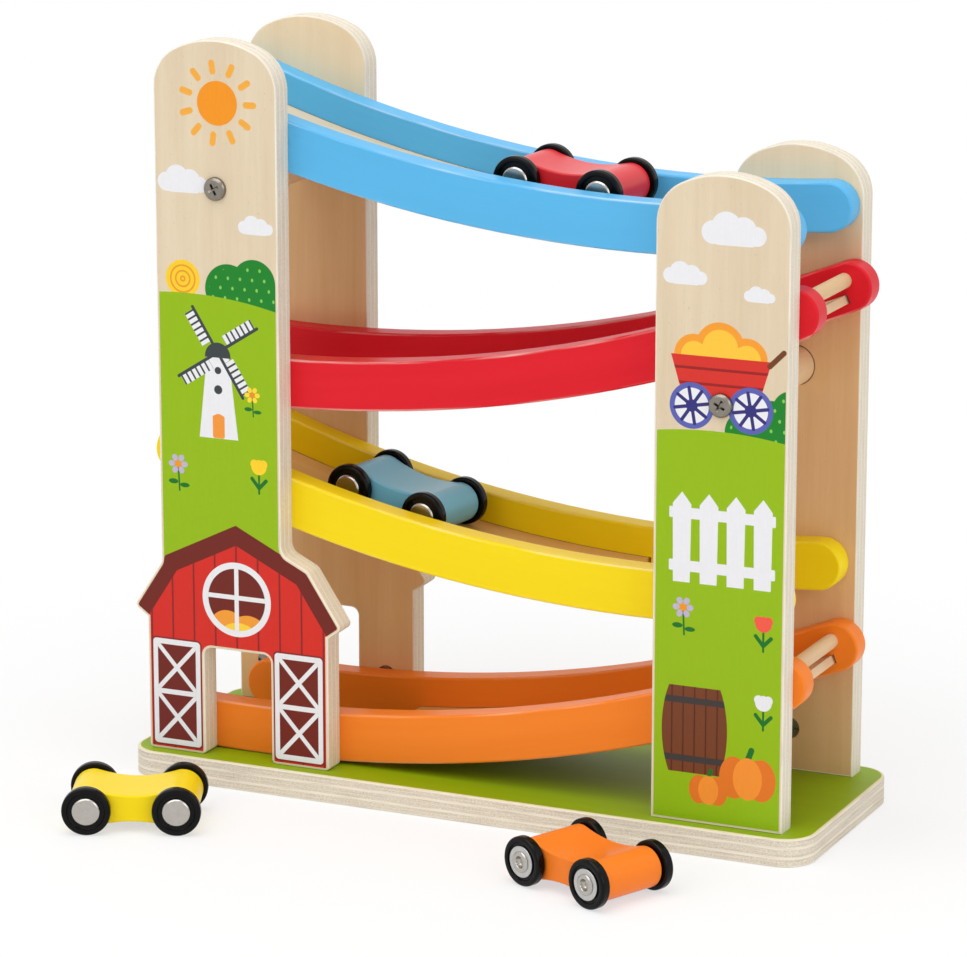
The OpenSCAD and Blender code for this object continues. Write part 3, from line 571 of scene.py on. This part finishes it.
# %% Printed pictures
class Print(Finish):
    """A picture printed on a board's front. Shapes are distances, negative inside."""

    def __init__(self, name):
        super().__init__(name)
        self.board = self.place()
        self.x, _, self.z = self.split(self.board)
        self.spot = self.join(self.x, 0, self.z)
        self.colour, self.relief = bare_wood(self, self.board, *BIRCH, along=2)
        self.covered = 0

    def from_point(self, x, z):
        return self.vector("SUBTRACT", self.spot, [x, 0, z])

    def disc(self, x, z, radius):
        return self.vector("DISTANCE", self.spot, [x, 0, z], out=1) - radius

    def oval(self, x, z, wide, high):
        squeezed = self.vector("MULTIPLY", self.from_point(x, z), [1 / wide, 0, 1 / high])
        return (self.vector("LENGTH", squeezed, out=1) - 1) * min(wide, high)

    def stroke(self, x, z, to_x, to_z, half_width):
        """A line with round ends."""
        run = Vector((to_x - x, 0, to_z - z))
        away = self.from_point(x, z)
        share = self.vector("DOT_PRODUCT", away, list(run / run.length_squared), out=1)
        share = share.math("ADD", 0, clamp=True)
        nearest = self.node("VectorMath", {"operation": "SCALE"}, {0: list(run), 3: share})
        return self.vector("DISTANCE", away, nearest, out=1) - half_width

    def bar(self, x, z, half_long, half_wide, lean=0, corner=0):
        """A rectangle whose long side leans from the upright by some degrees."""
        sine, cosine = math.sin(math.radians(lean)), math.cos(math.radians(lean))
        away = self.from_point(x, z)
        up = abs(self.vector("DOT_PRODUCT", away, [sine, 0, cosine], out=1)) - (half_long - corner)
        out = abs(self.vector("DOT_PRODUCT", away, [cosine, 0, -sine], out=1)) - (half_wide - corner)
        if not corner:
            return up.math("MAXIMUM", out)
        up, out = up.math("MAXIMUM", 0), out.math("MAXIMUM", 0)
        return (up * up + out * out).math("SQRT") - corner

    def under(self, *corners):
        """Everything to the right of a clockwise line through corners, as below a roof."""
        sides = []
        for corner, following in zip(corners, corners[1:]):
            run = Vector((following[0] - corner[0], 0, following[1] - corner[1])).normalized()
            sides.append(self.vector("DOT_PRODUCT", self.from_point(*corner), [-run.z, 0, run.x], out=1))
        return self.both(*sides)

    def area(self, *corners):
        """A convex shape through corners given clockwise."""
        return self.under(*corners, corners[0])

    def round_about(self, x, z, count, turn=0):
        """Distances along and beside the nearest of some spokes round a point."""
        across, up = self.x - x, self.z - z
        reach = (across * across + up * up).math("SQRT")
        step = 2 * math.pi / count
        angle = (up.math("ARCTAN2", across) - math.radians(turn)).math("WRAP", step / 2, -step / 2)
        return reach * angle.math("COSINE"), reach * angle.math("SINE")

    def rays(self, x, z, count, start, end, half_width, turn=0):
        """Short strokes with round ends, all round a point."""
        along, side = self.round_about(x, z, count, turn)
        gone = along - along.math("MAXIMUM", start).math("MINIMUM", end)
        return (gone * gone + side * side).math("SQRT") - half_width

    def joined(self, kind, first, *others):
        for other in others:
            first = first.math(kind, other)
        return first

    def both(self, *shapes):
        """Where all of some shapes overlap."""
        return self.joined("MAXIMUM", *shapes)

    def any(self, *shapes):
        """Some shapes made into one."""
        return self.joined("MINIMUM", *shapes)

    def ink(self, shape, colour, soft=0.16):
        """Prints a shape in a colour, its edge blurred over some millimetres."""
        share = self.math("MULTIPLY_ADD", shape, -1 / soft, 0.5, clamp=True)
        self.colour = self.mix(share, self.colour, tint(*colour))
        self.covered = share.math("MAXIMUM", self.covered)

    def finish(self):
        """The finished material: the inks take a little of the wood's grain."""
        grain = self.noise(self.board, [1.4, 1.4, 0.06], 3)
        mottle = self.noise(self.board, [0.5, 0.5, 0.5], 3)
        shade = (grain - 0.5) * 0.07 + (mottle - 0.5) * 0.06 + 1
        grained = self.vector("MULTIPLY", self.colour, self.join(shade, shade, shade))
        dressed = self.mix(self.covered, self.colour, grained)
        self.set(colour=dressed, rough=self.covered * -0.12 + (self.relief - 0.4) * 0.14 + 0.54,
                 normal=self.bump(self.relief, 0.05, 0.3), shine=0.22)
        return self.material


# The inks, from their red, green and blue parts
WHITE, SLATE, IRON = (232, 232, 235), (60, 66, 68), (62, 56, 54)
INDIGO, VIOLET, LILAC, CORAL = (90, 96, 174), (52, 48, 120), (190, 178, 206), (240, 90, 70)
LEAF, STEM, BUSH, BUD = (146, 184, 12), (24, 112, 38), (26, 128, 40), (132, 200, 84)
SUN, RAY, LAMP, AMBER = (240, 148, 30), (240, 170, 64), (240, 150, 60), (232, 140, 50)
GOLD, LEMON, PUMPKIN, RIPE = (250, 206, 40), (250, 214, 60), (226, 118, 36), (244, 146, 50)
BALE, BALE_TURN, HAY, HAY_LIT = (246, 204, 44), (232, 150, 46), (240, 156, 54), (250, 206, 60)
LOAD, LOAD_LIT, CART_RED, CART_GAP = (242, 156, 48), (250, 196, 62), (212, 50, 40), (150, 32, 32)
BARN_RED, BOARD, MAROON, DOOR_RED = (211, 44, 33), (138, 36, 36), (112, 36, 28), (132, 36, 38)
HANDLE, STAVE, STAVE_GAP = (112, 62, 34), (116, 62, 34), (84, 42, 24)


def cloud(art, x, z, size):
    puffs = [(-1.9, -0.1, 0.95), (-0.7, 0.35, 1.3), (0.75, 0.15, 1.15), (1.9, -0.2, 0.8)]
    discs = [art.disc(x + dx * size, z + dz * size, r * size) for dx, dz, r in puffs]
    foot = art.bar(x, z - 0.55 * size, 1.9 * size, 0.55 * size, lean=90, corner=0.5 * size)
    art.ink(art.any(*discs, foot), WHITE)


def bush(art, puffs):
    """Round puffs of leaves with staggered rows of pale buds."""
    art.ink(art.any(*[art.disc(*puff) for puff in puffs]), BUSH)
    inside = art.any(*[art.disc(x, z, r - 2.2) for x, z, r in puffs])
    row = (art.z / 4.6).math("FLOOR")
    across = (art.x / 6.2 + row * 0.37).math("FRACT") - 0.5
    up = (art.z / 4.6).math("FRACT") - 0.5
    bud = (across * across * 38.4 + up * up * 12).math("SQRT") - 0.62
    art.ink(art.both(bud, inside), BUD)


def daisy(art, x, z, petals, middle, size=1.0):
    art.ink(art.stroke(x, z, x + 0.6 * size, z - 12.5 * size, 0.42 * size), STEM)
    art.ink(art.any(art.oval(x - 2.6 * size, z - 8.4 * size, 2.5 * size, 1.2 * size),
                    art.oval(x + 3.3 * size, z - 9.8 * size, 2.5 * size, 1.1 * size)), STEM)
    art.ink(art.rays(x, z, 6, 3.0 * size, 3.6 * size, 1.35 * size), petals)
    art.ink(art.disc(x, z, 1.7 * size), middle)


def tulip(art, x, z, petals):
    art.ink(art.stroke(x, z, x, z - 12, 0.5), STEM)
    art.ink(art.any(art.stroke(x, z - 9.5, x - 3.6, z - 5.2, 0.9),
                    art.stroke(x, z - 9.5, x + 3.6, z - 5.8, 0.9)), STEM)
    cup = art.both(art.disc(x, z + 0.6, 3.9), art.z - (z + 2.2))
    tips = [art.both(art.disc(x + dx, z + 1.8, 2.1), art.disc(x, z + 1.6, 4.4)) for dx in (-2.3, 0, 2.3)]
    art.ink(art.any(cup, *tips), petals)


def hay_bale(art, x, z, radius):
    reach = art.vector("DISTANCE", art.spot, [x, 0, z], out=1)
    art.ink(reach - radius, BALE)
    turns = abs((reach / 2.6 + 0.1).math("FRACT") - 0.5) * 2.6 - 0.42
    art.ink(art.both(turns, reach - (radius - 0.8)), BALE_TURN)


def windmill(art, x, z):
    """A white tower and four slatted sails round a hub at (x, z)."""
    art.ink(art.area((x - 5.6, z - 1.5), (x + 5.6, z - 1.5), (x + 10, z - 40.5), (x - 10, z - 40.5)), WHITE)
    art.ink(art.both(art.disc(x, z - 2.0, 6.6), (z - 2.5) - art.z), SLATE)
    art.ink(art.any(art.bar(x, z - 35, 5.4, 3.1, corner=1.2), art.disc(x, z - 32, 3.1)), LAMP)
    art.ink(art.any(art.disc(x, z - 17.5, 2.1), art.disc(x, z - 8.5, 1.7)), SLATE)
    along, side = art.round_about(x, z, 4, SAIL_TURN)
    sail = art.both(abs(along - 14.5) - 8.5, abs(side - 2.9) - 2.5)
    art.ink(sail, WHITE)
    art.ink(art.both(sail, abs((along / 2.83).math("FRACT") - 0.5) * -2.83 + 0.95), SLATE)
    art.ink(art.any(art.rays(x, z, 4, 0, 24, 0.75, turn=SAIL_TURN), art.disc(x, z, 1.9)), SLATE)


def barn_door(art, x, z):
    """A door round (x, z) with two white-framed, crossed panels."""
    art.ink(art.bar(x, z, 26.4, 13.2, corner=2.4), DOOR_RED)
    art.ink(art.bar(x, z, 25.6, 12.4, corner=1.8), WHITE)
    for mid in (z - 12.1, z + 12.1):
        panel = art.bar(x, mid, 10.9, 10.0)
        art.ink(panel, MAROON)
        cross = [art.stroke(x - lean, mid - 10.9, x + lean, mid + 10.9, 1.05) for lean in (10, -10)]
        art.ink(art.both(panel, art.any(*cross)), WHITE)


# %% The left post's print: a barn under a sunny hill
SUN_AT, WINDOW_Z, PLANK, SAIL_TURN = (-120.5, 321.5), 90, 11.2, 32
left = Print("print_left_post")
left.ink(left.disc(*SUN_AT, 10.2), SUN)
left.ink(left.rays(*SUN_AT, 11, 14.6, 18.4, 1.5), RAY)
cloud(left, -138.5, 284.5, 4.6)
cloud(left, -101.5, 266.0, 3.2)
bush(left, [(-116, 236, 12), (-103, 240, 11), (-93, 229, 11), (-108, 226, 14)])
hay_bale(left, -139.5, 239.5, 8.8)
left.ink(left.disc(-138, 34, 199), LEAF)
windmill(left, -122, 206.5)
daisy(left, -143.5, 152, LILAC, SUN)
tulip(left, -101.5, 154, GOLD)
daisy(left, -104.5, 188, LEMON, AMBER, 0.8)
roof = [(-EAVE[0], EAVE[1]), (-KNEE[0], KNEE[1]), RIDGE, KNEE, EAVE]
slopes = left.under(*[(BARN_X + x, BASE_TOP + z) for x, z in roof])
left.ink(slopes, MAROON)
left.ink(slopes + 8.6, BARN_RED)
boards = 0.5 - abs(((left.x - BARN_X) / PLANK).math("FRACT") - 0.5)
left.ink(left.both(boards * PLANK - 0.45, slopes + 8.6), BOARD)
left.ink(left.disc(BARN_X, WINDOW_Z, 17.8), WHITE)
pane = left.disc(BARN_X, WINDOW_Z, 14.8)
left.ink(pane, MAROON)
left.ink(left.both(pane, left.any(left.disc(BARN_X - 5, 75, 9.5), left.disc(BARN_X + 6, 72, 11))), HAY)
left.ink(left.both(pane, left.disc(BARN_X + 1, 66, 13)), HAY_LIT)
glazing = left.any(left.bar(BARN_X, WINDOW_Z, 16, 1.1), left.bar(BARN_X, WINDOW_Z + 1, 16, 1.1, lean=90))
left.ink(left.both(pane, glazing), WHITE)
for x in (-146.0, -82.2):
    barn_door(left, x, 41.4)
LEFT_PRINT = left.finish()

# %% The right post's print: a hay cart, a fence and the harvest
BARREL = (114.5, 56)
right = Print("print_right_post")
cloud(right, 130.5, 281.5, 5.4)
cloud(right, 108.0, 261.0, 3.7)
cloud(right, 142.5, 254.5, 2.6)
bush(right, [(149, 196, 13), (138, 193, 11), (158, 205, 9)])
right.ink(right.disc(122, -6.5, 199.5), LEAF)
load = right.any(right.disc(112.5, 226, 9.5), right.disc(124.5, 230, 11.5), right.disc(137, 226, 9.5))
right.ink(right.both(load, 222 - right.z), LOAD)
right.ink(right.both(load + 3.2, 222 - right.z), LOAD_LIT)
cart = right.area((101.5, 226), (148.5, 226), (142.5, 206.5), (107.5, 206.5))
right.ink(cart, CART_RED)
for z in (220.4, 213.6):
    right.ink(right.both(abs(right.z - z) - 0.6, cart), CART_GAP)
right.ink(right.stroke(147.5, 224, 154.0, 230.5, 1.2), HANDLE)
for hub in ((111.5, 203.5), (139.0, 203.5)):
    right.ink(right.disc(*hub, 10.4), INDIGO)
    right.ink(right.disc(*hub, 8.0), WHITE)
    right.ink(right.rays(*hub, 8, 0, 8, 0.8, turn=10), VIOLET)
    right.ink(right.disc(*hub, 2.8), VIOLET)
rails = right.any(*[right.bar(126.5, z, 25.0, 2.5, lean=90, corner=0.6) for z in (155.0, 131.0)])
right.ink(rails, WHITE)
for x in (107.5, 120.2, 132.9, 145.6):
    picket = right.area((x - 4.4, 159), (x, 164.5), (x + 4.4, 159), (x + 4.0, 123.5), (x - 4.0, 123.5))
    right.ink(picket, WHITE)
daisy(right, 108.5, 112, LILAC, SUN)
tulip(right, 146.5, 108, CORAL)
barrel = right.both(right.oval(*BARREL, 15.6, 32), abs(right.z - BARREL[1]) - 20)
right.ink(barrel, STAVE)
right.ink(right.both(barrel, abs(((right.x - BARREL[0]) / 5.4).math("FRACT") - 0.5) * -5.4 + 2.35), STAVE_GAP)
right.ink(right.both(barrel, right.any(*[abs(right.z - z) - 1.5 for z in (69.5, 42.5)])), IRON)
for x, z, size in ((140.0, 36.5, 12.5), (121.5, 29.0, 8.6)):
    right.ink(right.stroke(x, z + size * 0.7, x + size * 0.14, z + size * 1.08, size * 0.11), STEM)
    for shift, colour in ((-0.52, PUMPKIN), (0.52, PUMPKIN), (0.0, RIPE)):
        right.ink(right.oval(x + shift * size, z, size * 0.55, size * 0.78), colour)
tulip(right, 147.0, 72, WHITE)
RIGHT_PRINT = right.finish()
print("prints:", len(left.nodes), "and", len(right.nodes), "nodes")

# %% The four posts
EASE, RIM = 0.7, 1.3
NUT_Z, NUT_HOLE_R, NUT_DEPTH = 33.0, 5.1, 10.2
SIDES = {"front": -POST_FRONT, "back": POST_GAP_HALF}
SIDE_PLY = {side: ply_edge("ply_edge_" + side, first, POST_THICK) for side, first in SIDES.items()}
LEFT_INSIDE = inner_birch("birch_inside_left", LEFT_TOP, LEFT_X, SCREW_Z["left"])
RIGHT_INSIDE = inner_birch("birch_inside_right", RIGHT_TOP, RIGHT_X, SCREW_Z["right"])
POSTS = {  # each pair's outline, print, inner face and the X of its barrel nuts
    "left": (LEFT_OUTLINE, LEFT_PRINT, LEFT_INSIDE, (-146.2, -81.8)),
    "right": (RIGHT_OUTLINE, RIGHT_PRINT, RIGHT_INSIDE, (RIGHT_X,)),
}


def nut_holes(facing, places):
    """Drills for the barrel nuts' holes, which start 1 mm clear of a post's inner face."""
    bm = bmesh.new()
    long = NUT_DEPTH + 1
    for x in places:
        drill = spot(x, facing * (POST_GAP_HALF - 1 + long / 2), NUT_Z, -90 * facing, "X")
        bmesh.ops.create_cone(bm, cap_ends=True, segments=48, radius1=NUT_HOLE_R * MM,
                              radius2=NUT_HOLE_R * MM, depth=long * MM, matrix=drill)
    return solid("drills", bm)


for name, (outline, art, inside, nuts) in POSTS.items():
    for side, first in SIDES.items():
        bm = bmesh.new()
        sheet(bm, outline, POST_THICK, EASE, RIM, spot(0, first, 0))
        board = solid("board", bm)
        front = side == "front"
        for material in (SIDE_PLY[side], BIRCH_FACE, *((art, inside) if front else (inside, BIRCH_FACE))):
            board.data.materials.append(material)
        # A post's inner face has a finish of its own and no bare rim
        for face in board.data.polygons:
            if face.material_index == 1 and face.normal.y > 0.9 and len(face.vertices) > 4:
                face.material_index = 3
            elif face.material_index == 1 and not front:
                face.material_index = 2
        mesh = carved(board, nut_holes(-1 if front else 1, nuts))
        mesh.name = f"{name}_post_{side}"
        mesh.set_sharp_from_angle(angle=math.radians(35))
        piece(f"{name}_post_{side}", mesh, "stand", f"post_{name}_{side}", slot="birch")
        print(name, side, "post:", len(mesh.polygons), "faces")

# %% [markdown]
# The base is a thicker board of the same plywood, printed grass green on top up to a thin
# bare rim. Its solid already has the eased edges, so it only takes a finish.

# %% The base board
def base_finish():
    made = Finish("base_board")
    place = made.place()
    x, y, z = made.split(place)
    across = (abs(x) - (BASE_HALF[0] - BASE_CORNER)).math("MAXIMUM", 0)
    deep = (abs(y) - (BASE_HALF[1] - BASE_CORNER)).math("MAXIMUM", 0)
    from_edge = BASE_CORNER - (across * across + deep * deep).math("SQRT")
    on_top = made.over(z, BASE_TOP - 0.15, BASE_TOP - 0.02)
    printed = on_top * made.over(from_edge, 1.3, 1.5)
    face, relief = bare_wood(made, place, (234, 226, 186), (222, 208, 164), along=0)
    edge, edge_relief = ply_layers(made, z, 0, BASE_TOP, place)
    broad, middle, fine, _ = fibres(made, place, 0)
    shade = (broad - 0.5) * 0.16 + (middle - 0.5) * 0.12 + (fine - 0.5) * 0.08 + 1
    green = made.vector("MULTIPLY", tint(140, 168, 8)[:3], made.join(shade, shade, shade))
    flat = made.over(z, BASE_TOP - 0.5, BASE_TOP - 0.1)
    under = 1 - made.over(z, 0.02, 0.3)
    colour = made.mix(flat.math("MAXIMUM", under), edge, face)
    colour = made.mix(printed, colour, green)
    made.set(colour=colour, rough=printed * -0.1 + 0.56,
             normal=made.bump(relief * flat + edge_relief * (1 - flat), 0.06, 0.35), shine=0.18)
    return made.material


NODES["base"].data.materials[0] = base_finish()

# %% [markdown]
# Each car is a waisted block with two rivets through it. A rivet's domed head keeps the
# wheel on one side and its rolled tail does so on the other, over a washer.

# %% The cars
WHEEL_R, HALF_BASE, CAR_PATH_R = 11.2, 20.45, 663.565
BODY_W, WHEEL_THICK, WHEEL_GAP, RECESS = 32.0, 4.6, 0.7, 1.0


def on_ground(x, out, turn):
    """A car's place on the ground, some millimetres out from the base's front edge."""
    return spot(x, -BASE_HALF[1] - out, WHEEL_R, turn)


def on_ramp(centre, back, slant):
    """A car's place on a ramp, some millimetres back along the curve from its lowest point."""
    swung = spot(centre[0], 0, centre[1], math.degrees(back / CAR_PATH_R), "Y")
    return swung @ spot(0, 0, -CAR_PATH_R, slant)


CARS = {  # each one's place, colour and shine
    "yellow": (on_ground(-131.8, 60.3, 23.1), (252, 214, 0), 0.12),
    "orange": (on_ground(91.7, 58.4, 156.6), (252, 126, 30), 0.14),
    "red": (on_ramp(RAMPS["blue"][0], 53.5, -1.7), (216, 26, 38), 0.3),
    "grey": (on_ramp(RAMPS["yellow"][0], 136.8, -5.6), (113, 186, 212), 0.26),
}


def body_outline():
    """The waisted side view of a car's body, anticlockwise."""
    waist, end = 6.1, 9.2
    waist_r = (waist ** 2 + HALF_BASE ** 2 - end ** 2) / (2 * (end - waist))
    waist_z = waist + waist_r
    dip = math.degrees(math.atan2(HALF_BASE, waist_z))
    meet = 90 + dip
    right = arc((HALF_BASE, 0), end, -meet, meet, 36)
    top = arc((0, waist_z), waist_r, -90 + dip, -90 - dip, 14)[1:-1]
    left = arc((-HALF_BASE, 0), end, 180 - meet, 180 + meet, 36)
    bottom = arc((0, -waist_z), waist_r, 90 + dip, 90 - dip, 14)[1:-1]
    return right + top + left + bottom


def turned(bm, profile, place, steps=64):
    """Adds a turned shape to a mesh from (radius, height) points, round its local Z axis."""
    rings = []
    for radius, height in profile:
        if radius == 0:
            rings.append([bm.verts.new(place @ Vector((0, 0, height * MM)))])
            continue
        points = [Vector((radius * MM * math.cos(a), radius * MM * math.sin(a), height * MM))
                  for a in (2 * math.pi * i / steps for i in range(steps))]
        rings.append([bm.verts.new(place @ point) for point in points])
    for ring, beyond in zip(rings, rings[1:]):
        for i in range(steps):
            j = (i + 1) % steps
            near = [ring[i % len(ring)], ring[j % len(ring)]]
            corners = list(dict.fromkeys(near + [beyond[j % len(beyond)], beyond[i % len(beyond)]]))
            if len(corners) > 2:
                bm.faces.new(corners).smooth = True


def eased(radius, height, by, steps=5):
    """The points of a round-over whose corner is at (radius, height), going outward then down."""
    turns = [math.pi / 2 * k / steps for k in range(steps + 1)]
    return [(radius - by + by * math.sin(t), height - by + by * math.cos(t)) for t in turns]


INNER_Y = BODY_W / 2 + WHEEL_GAP
SEAT_Y = INNER_Y + WHEEL_THICK - RECESS + 0.1
TAIL_Y = SEAT_Y + 1.0
WHEEL = [(3.6, 0.0), (10.2, 0.0)] + [(r, WHEEL_THICK - h) for r, h in eased(WHEEL_R, WHEEL_THICK, 1.0)]
WHEEL += eased(WHEEL_R, WHEEL_THICK, 1.2)[::-1]
WHEEL += [(9.1, 4.6), (8.7, 4.5), (8.5, 4.25), (8.5, 3.75), (8.3, 3.6), (3.6, 3.6), (3.6, 0.0)]
HEAD = [(0, 1.5), (5.55, 1.5), (5.8, 1.44), (6.3, 1.02), (6.45, 0.75), (6.45, 0.0), (3.5, 0.0)]
TAIL = [(3.5, 0.0), (4.5, 0.0), (4.75, 0.2), (4.6, 0.5), (4.1, 0.8), (3.3, 0.9), (2.75, 0.7),
        (2.45, 0.2), (2.3, -0.6), (1.6, -1.3), (0, -1.5)]
RIVET = [(r, -SEAT_Y - h) for r, h in HEAD] + [(r, TAIL_Y + h) for r, h in TAIL]
WASHER = [(3.6, 0.0)] + [(r, 1 - h) for r, h in eased(7.1, 1.0, 0.25, 3)] + eased(7.1, 1.0, 0.3, 3)[::-1]
WASHER += [(3.8, 1.0), (3.6, 0.85), (3.6, 0.0)]


def axle(end, y, facing=1):
    """Turns a turned shape's own Z axis to lie along an axle, facing +Y or -Y."""
    return spot(end * HALF_BASE, y, 0, -90 * facing, "X")


def turned_mesh(name, profile, places, material):
    bm = bmesh.new()
    for place in places:
        turned(bm, profile, place)
    return shape(name, bm, material)


wheel_mesh = turned_mesh("wheel", WHEEL, [Matrix()], WHEEL_BLACK)
rivet_mesh = turned_mesh("rivets", RIVET, [axle(-1, 0), axle(1, 0)], RIVET_STEEL)
washer_mesh = turned_mesh("washers", WASHER, [axle(-1, SEAT_Y), axle(1, SEAT_Y)], WASHER_ZINC)
for name, (at, colour, shine) in CARS.items():
    bm = bmesh.new()
    sheet(bm, body_outline(), BODY_W, 0.9, 0, spot(0, -BODY_W / 2, 0), 5, (0, 0, 0))
    paint = painted("paint_car_" + name, colour, rough=0.3, shine=shine, grain=0.25)
    block = shape(name + "_block", bm, paint)
    piece(name + "_block", block, name + "_car", name + "_car_body", slot="car_" + name, at=at)
    piece(name + "_rivets", rivet_mesh, name + "_car", name + "_car_rivets", slot="rivet_steel", at=at)
    piece(name + "_washers", washer_mesh, name + "_car", name + "_car_washers", slot="zinc", at=at)
    for number in (1, 2, 3, 4):
        side = -1 if number % 2 else 1
        end = 1 if number <= 2 else -1
        wheel = wheel_mesh.copy()
        wheel.transform(at @ axle(end, side * INNER_Y, side))
        body = f"{name}_wheel_{number}"
        piece(body, wheel, body, f"{name}_car_wheel_{number}", slot="wheel_black")
print("cars made:", ", ".join(CARS))

# %% [markdown]
# A cross-headed screw holds each spacer rod between its posts. The cross is cut into a
# turned pan head with two crossed wedges.

# %% The screws
HEAD_R, SHANK_R = 5.5, 2.0
SCREW = [(0, 2.6), (2.0, 2.55)] + [(HEAD_R - 2.0 + 2.0 * math.sin(t), 0.6 + 1.8 * math.cos(t))
                                   for t in (math.pi / 2 * k / 8 for k in range(9))]
SCREW += [(HEAD_R, 0.0), (SHANK_R, 0.0), (SHANK_R, -28.0), (0, -32.0)]
# The cross narrows in steps of (reach, half its width, height)
CROSS = (3.1, 0.62, 2.9), (2.7, 0.55, 2.3), (1.3, 0.4, 0.7)
bm = bmesh.new()
turned(bm, SCREW, Matrix())
bmesh.ops.remove_doubles(bm, verts=bm.verts, dist=0.001 * MM)
head = solid("screw", bm)
bm = bmesh.new()
for turn in (0, 90):
    swing = spot(0, 0, 0, turn)
    rounds = []
    for reach, half, height in CROSS:
        corners = [(-reach, -half), (reach, -half), (reach, half), (-reach, half)]
        rounds.append([bm.verts.new(swing @ Vector((x * MM, y * MM, height * MM))) for x, y in corners])
    for ring, beyond in zip(rounds, rounds[1:]):
        for i in range(4):
            bm.faces.new((ring[i], ring[(i + 1) % 4], beyond[(i + 1) % 4], beyond[i]))
    bm.faces.new(rounds[0])
    bm.faces.new(rounds[-1][::-1])
cross_headed = carved(head, solid("cross", bm))
bm = bmesh.new()
for x, z, spin in ((LEFT_X, SCREW_Z["left"], 28), (RIGHT_X, SCREW_Z["right"], 62)):
    for side in (-1, 1):
        start = len(bm.verts)
        bm.from_mesh(cross_headed)
        bm.verts.ensure_lookup_table()
        place = spot(x, side * POST_FRONT, z, -90 * side, "X") @ spot(0, 0, 0, spin)
        bmesh.ops.transform(bm, matrix=place, verts=bm.verts[start:])
for face in bm.faces:
    face.smooth = True
screws = shape("post_cross_screws", bm, SCREW_ZINC, sharp=30)
piece("post_cross_screws", screws, "stand", "post_screws", slot="zinc")
print("screws made, from a head of", len(cross_headed.polygons), "faces")

# %% [markdown]
# The toy stands on a pale table in a bright room, as it would in a catalogue picture.

# %% Table and room
PLAIN_WHITE = (1, 1, 1, 1)


def looked_at(made):
    """1 for rays that look, also off a gloss or through glass, and 0 for those that light."""
    path = made.node("LightPath")
    straight, glossy, through = (Wire(made, path.socket.node.outputs[ray + " Ray"])
                                 for ray in ("Is Camera", "Is Glossy", "Is Transmission"))
    return straight.math("MAXIMUM", glossy).math("MAXIMUM", through)


def pale_table():
    """A matt white top that keeps a soft shadow near the toy and fades to plain white far off."""
    made = Finish("table")
    place = made.place()
    cloud = made.noise(place, [0.004, 0.004, 0.004], 2)
    made.set(colour=made.mix(cloud, tint(243, 243, 243), tint(247, 247, 247)), rough=0.7, shine=0.2)
    white = made.node("Emission", inputs={"Color": PLAIN_WHITE, "Strength": 1.0})
    away = made.vector("LENGTH", place, out=1)
    share = looked_at(made) * (made.over(away, 200, 460) * 0.4 + 0.6)
    blended = made.node("MixShader", inputs={0: share, 1: Wire(made, made.shader.outputs[0]), 2: white})
    made.give(made.nodes["Material Output"].inputs["Surface"], blended)
    return made.material


bm = bmesh.new()
bmesh.ops.create_grid(bm, x_segments=1, y_segments=1, size=4.0)
table = solid("table", bm)
table.location.z = -0.05 * MM
table.data.materials.append(pale_table())


class Room(Finish):
    """The world round the toy, made with the same tools as a finish."""

    def __init__(self, name):
        self.world = bpy.data.worlds.new(name)
        self.world.use_nodes = True
        self.nodes, self.links = self.world.node_tree.nodes, self.world.node_tree.links


room = Room("room")
bpy.context.scene.world = room.world
lit = room.nodes["Background"]
lit.inputs["Color"].default_value = PLAIN_WHITE
lit.inputs["Strength"].default_value = 0.6
seen = room.node("Background", inputs={"Color": PLAIN_WHITE, "Strength": 1.0})
both = room.node("MixShader", inputs={0: looked_at(room), 1: Wire(room, lit.outputs[0]), 2: seen})
room.give(room.nodes["World Output"].inputs["Surface"], both)

# %% Light and camera
SOFTBOXES = {  # each one's place, what it looks at, its size and its watts
    "overhead": ((-0.1, -0.4, 2.2), (0, 0, 0.1), (2.2, 1.8), 23.5),
    "front": ((-0.6, -1.9, 1.75), (0, 0, 0.15), (1.6, 1.2), 10.5),
    "right": ((2.0, -0.9, 1.0), (0, 0, 0.15), (1.4, 1.2), 9),
}
LENS, SENSOR, CLIP_END = 161.12, 36.0, 20.0
CAMERA_AIM, CAMERA_REACH = (-0.012, 0, 0.1467), 1.9964
CAMERA_AZIMUTH, CAMERA_RISE = math.radians(24.506), math.radians(13.708)


def stand_at(name, data, place, aim):
    """Puts a lamp or a camera at a place, looking at another."""
    made = bpy.data.objects.new(name, data)
    bpy.context.scene.collection.objects.link(made)
    made.location = place
    made.rotation_euler = (Vector(aim) - Vector(place)).to_track_quat("-Z", "Y").to_euler()
    return made


for name, (place, aim, size, watts) in SOFTBOXES.items():
    lamp = bpy.data.lights.new(name, "AREA")
    lamp.shape, lamp.size, lamp.size_y, lamp.energy = "RECTANGLE", size[0], size[1], watts
    stand_at(name, lamp, place, aim)

camera = bpy.data.cameras.new("camera")
camera.lens, camera.sensor_width, camera.clip_end = LENS, SENSOR, CLIP_END
level = math.cos(CAMERA_RISE)
towards = Vector((math.sin(CAMERA_AZIMUTH) * level, -math.cos(CAMERA_AZIMUTH) * level, math.sin(CAMERA_RISE)))
place = Vector(CAMERA_AIM) + CAMERA_REACH * towards
bpy.context.scene.camera = stand_at("camera", camera, place, CAMERA_AIM)
bpy.context.scene.view_settings.view_transform = "Standard"
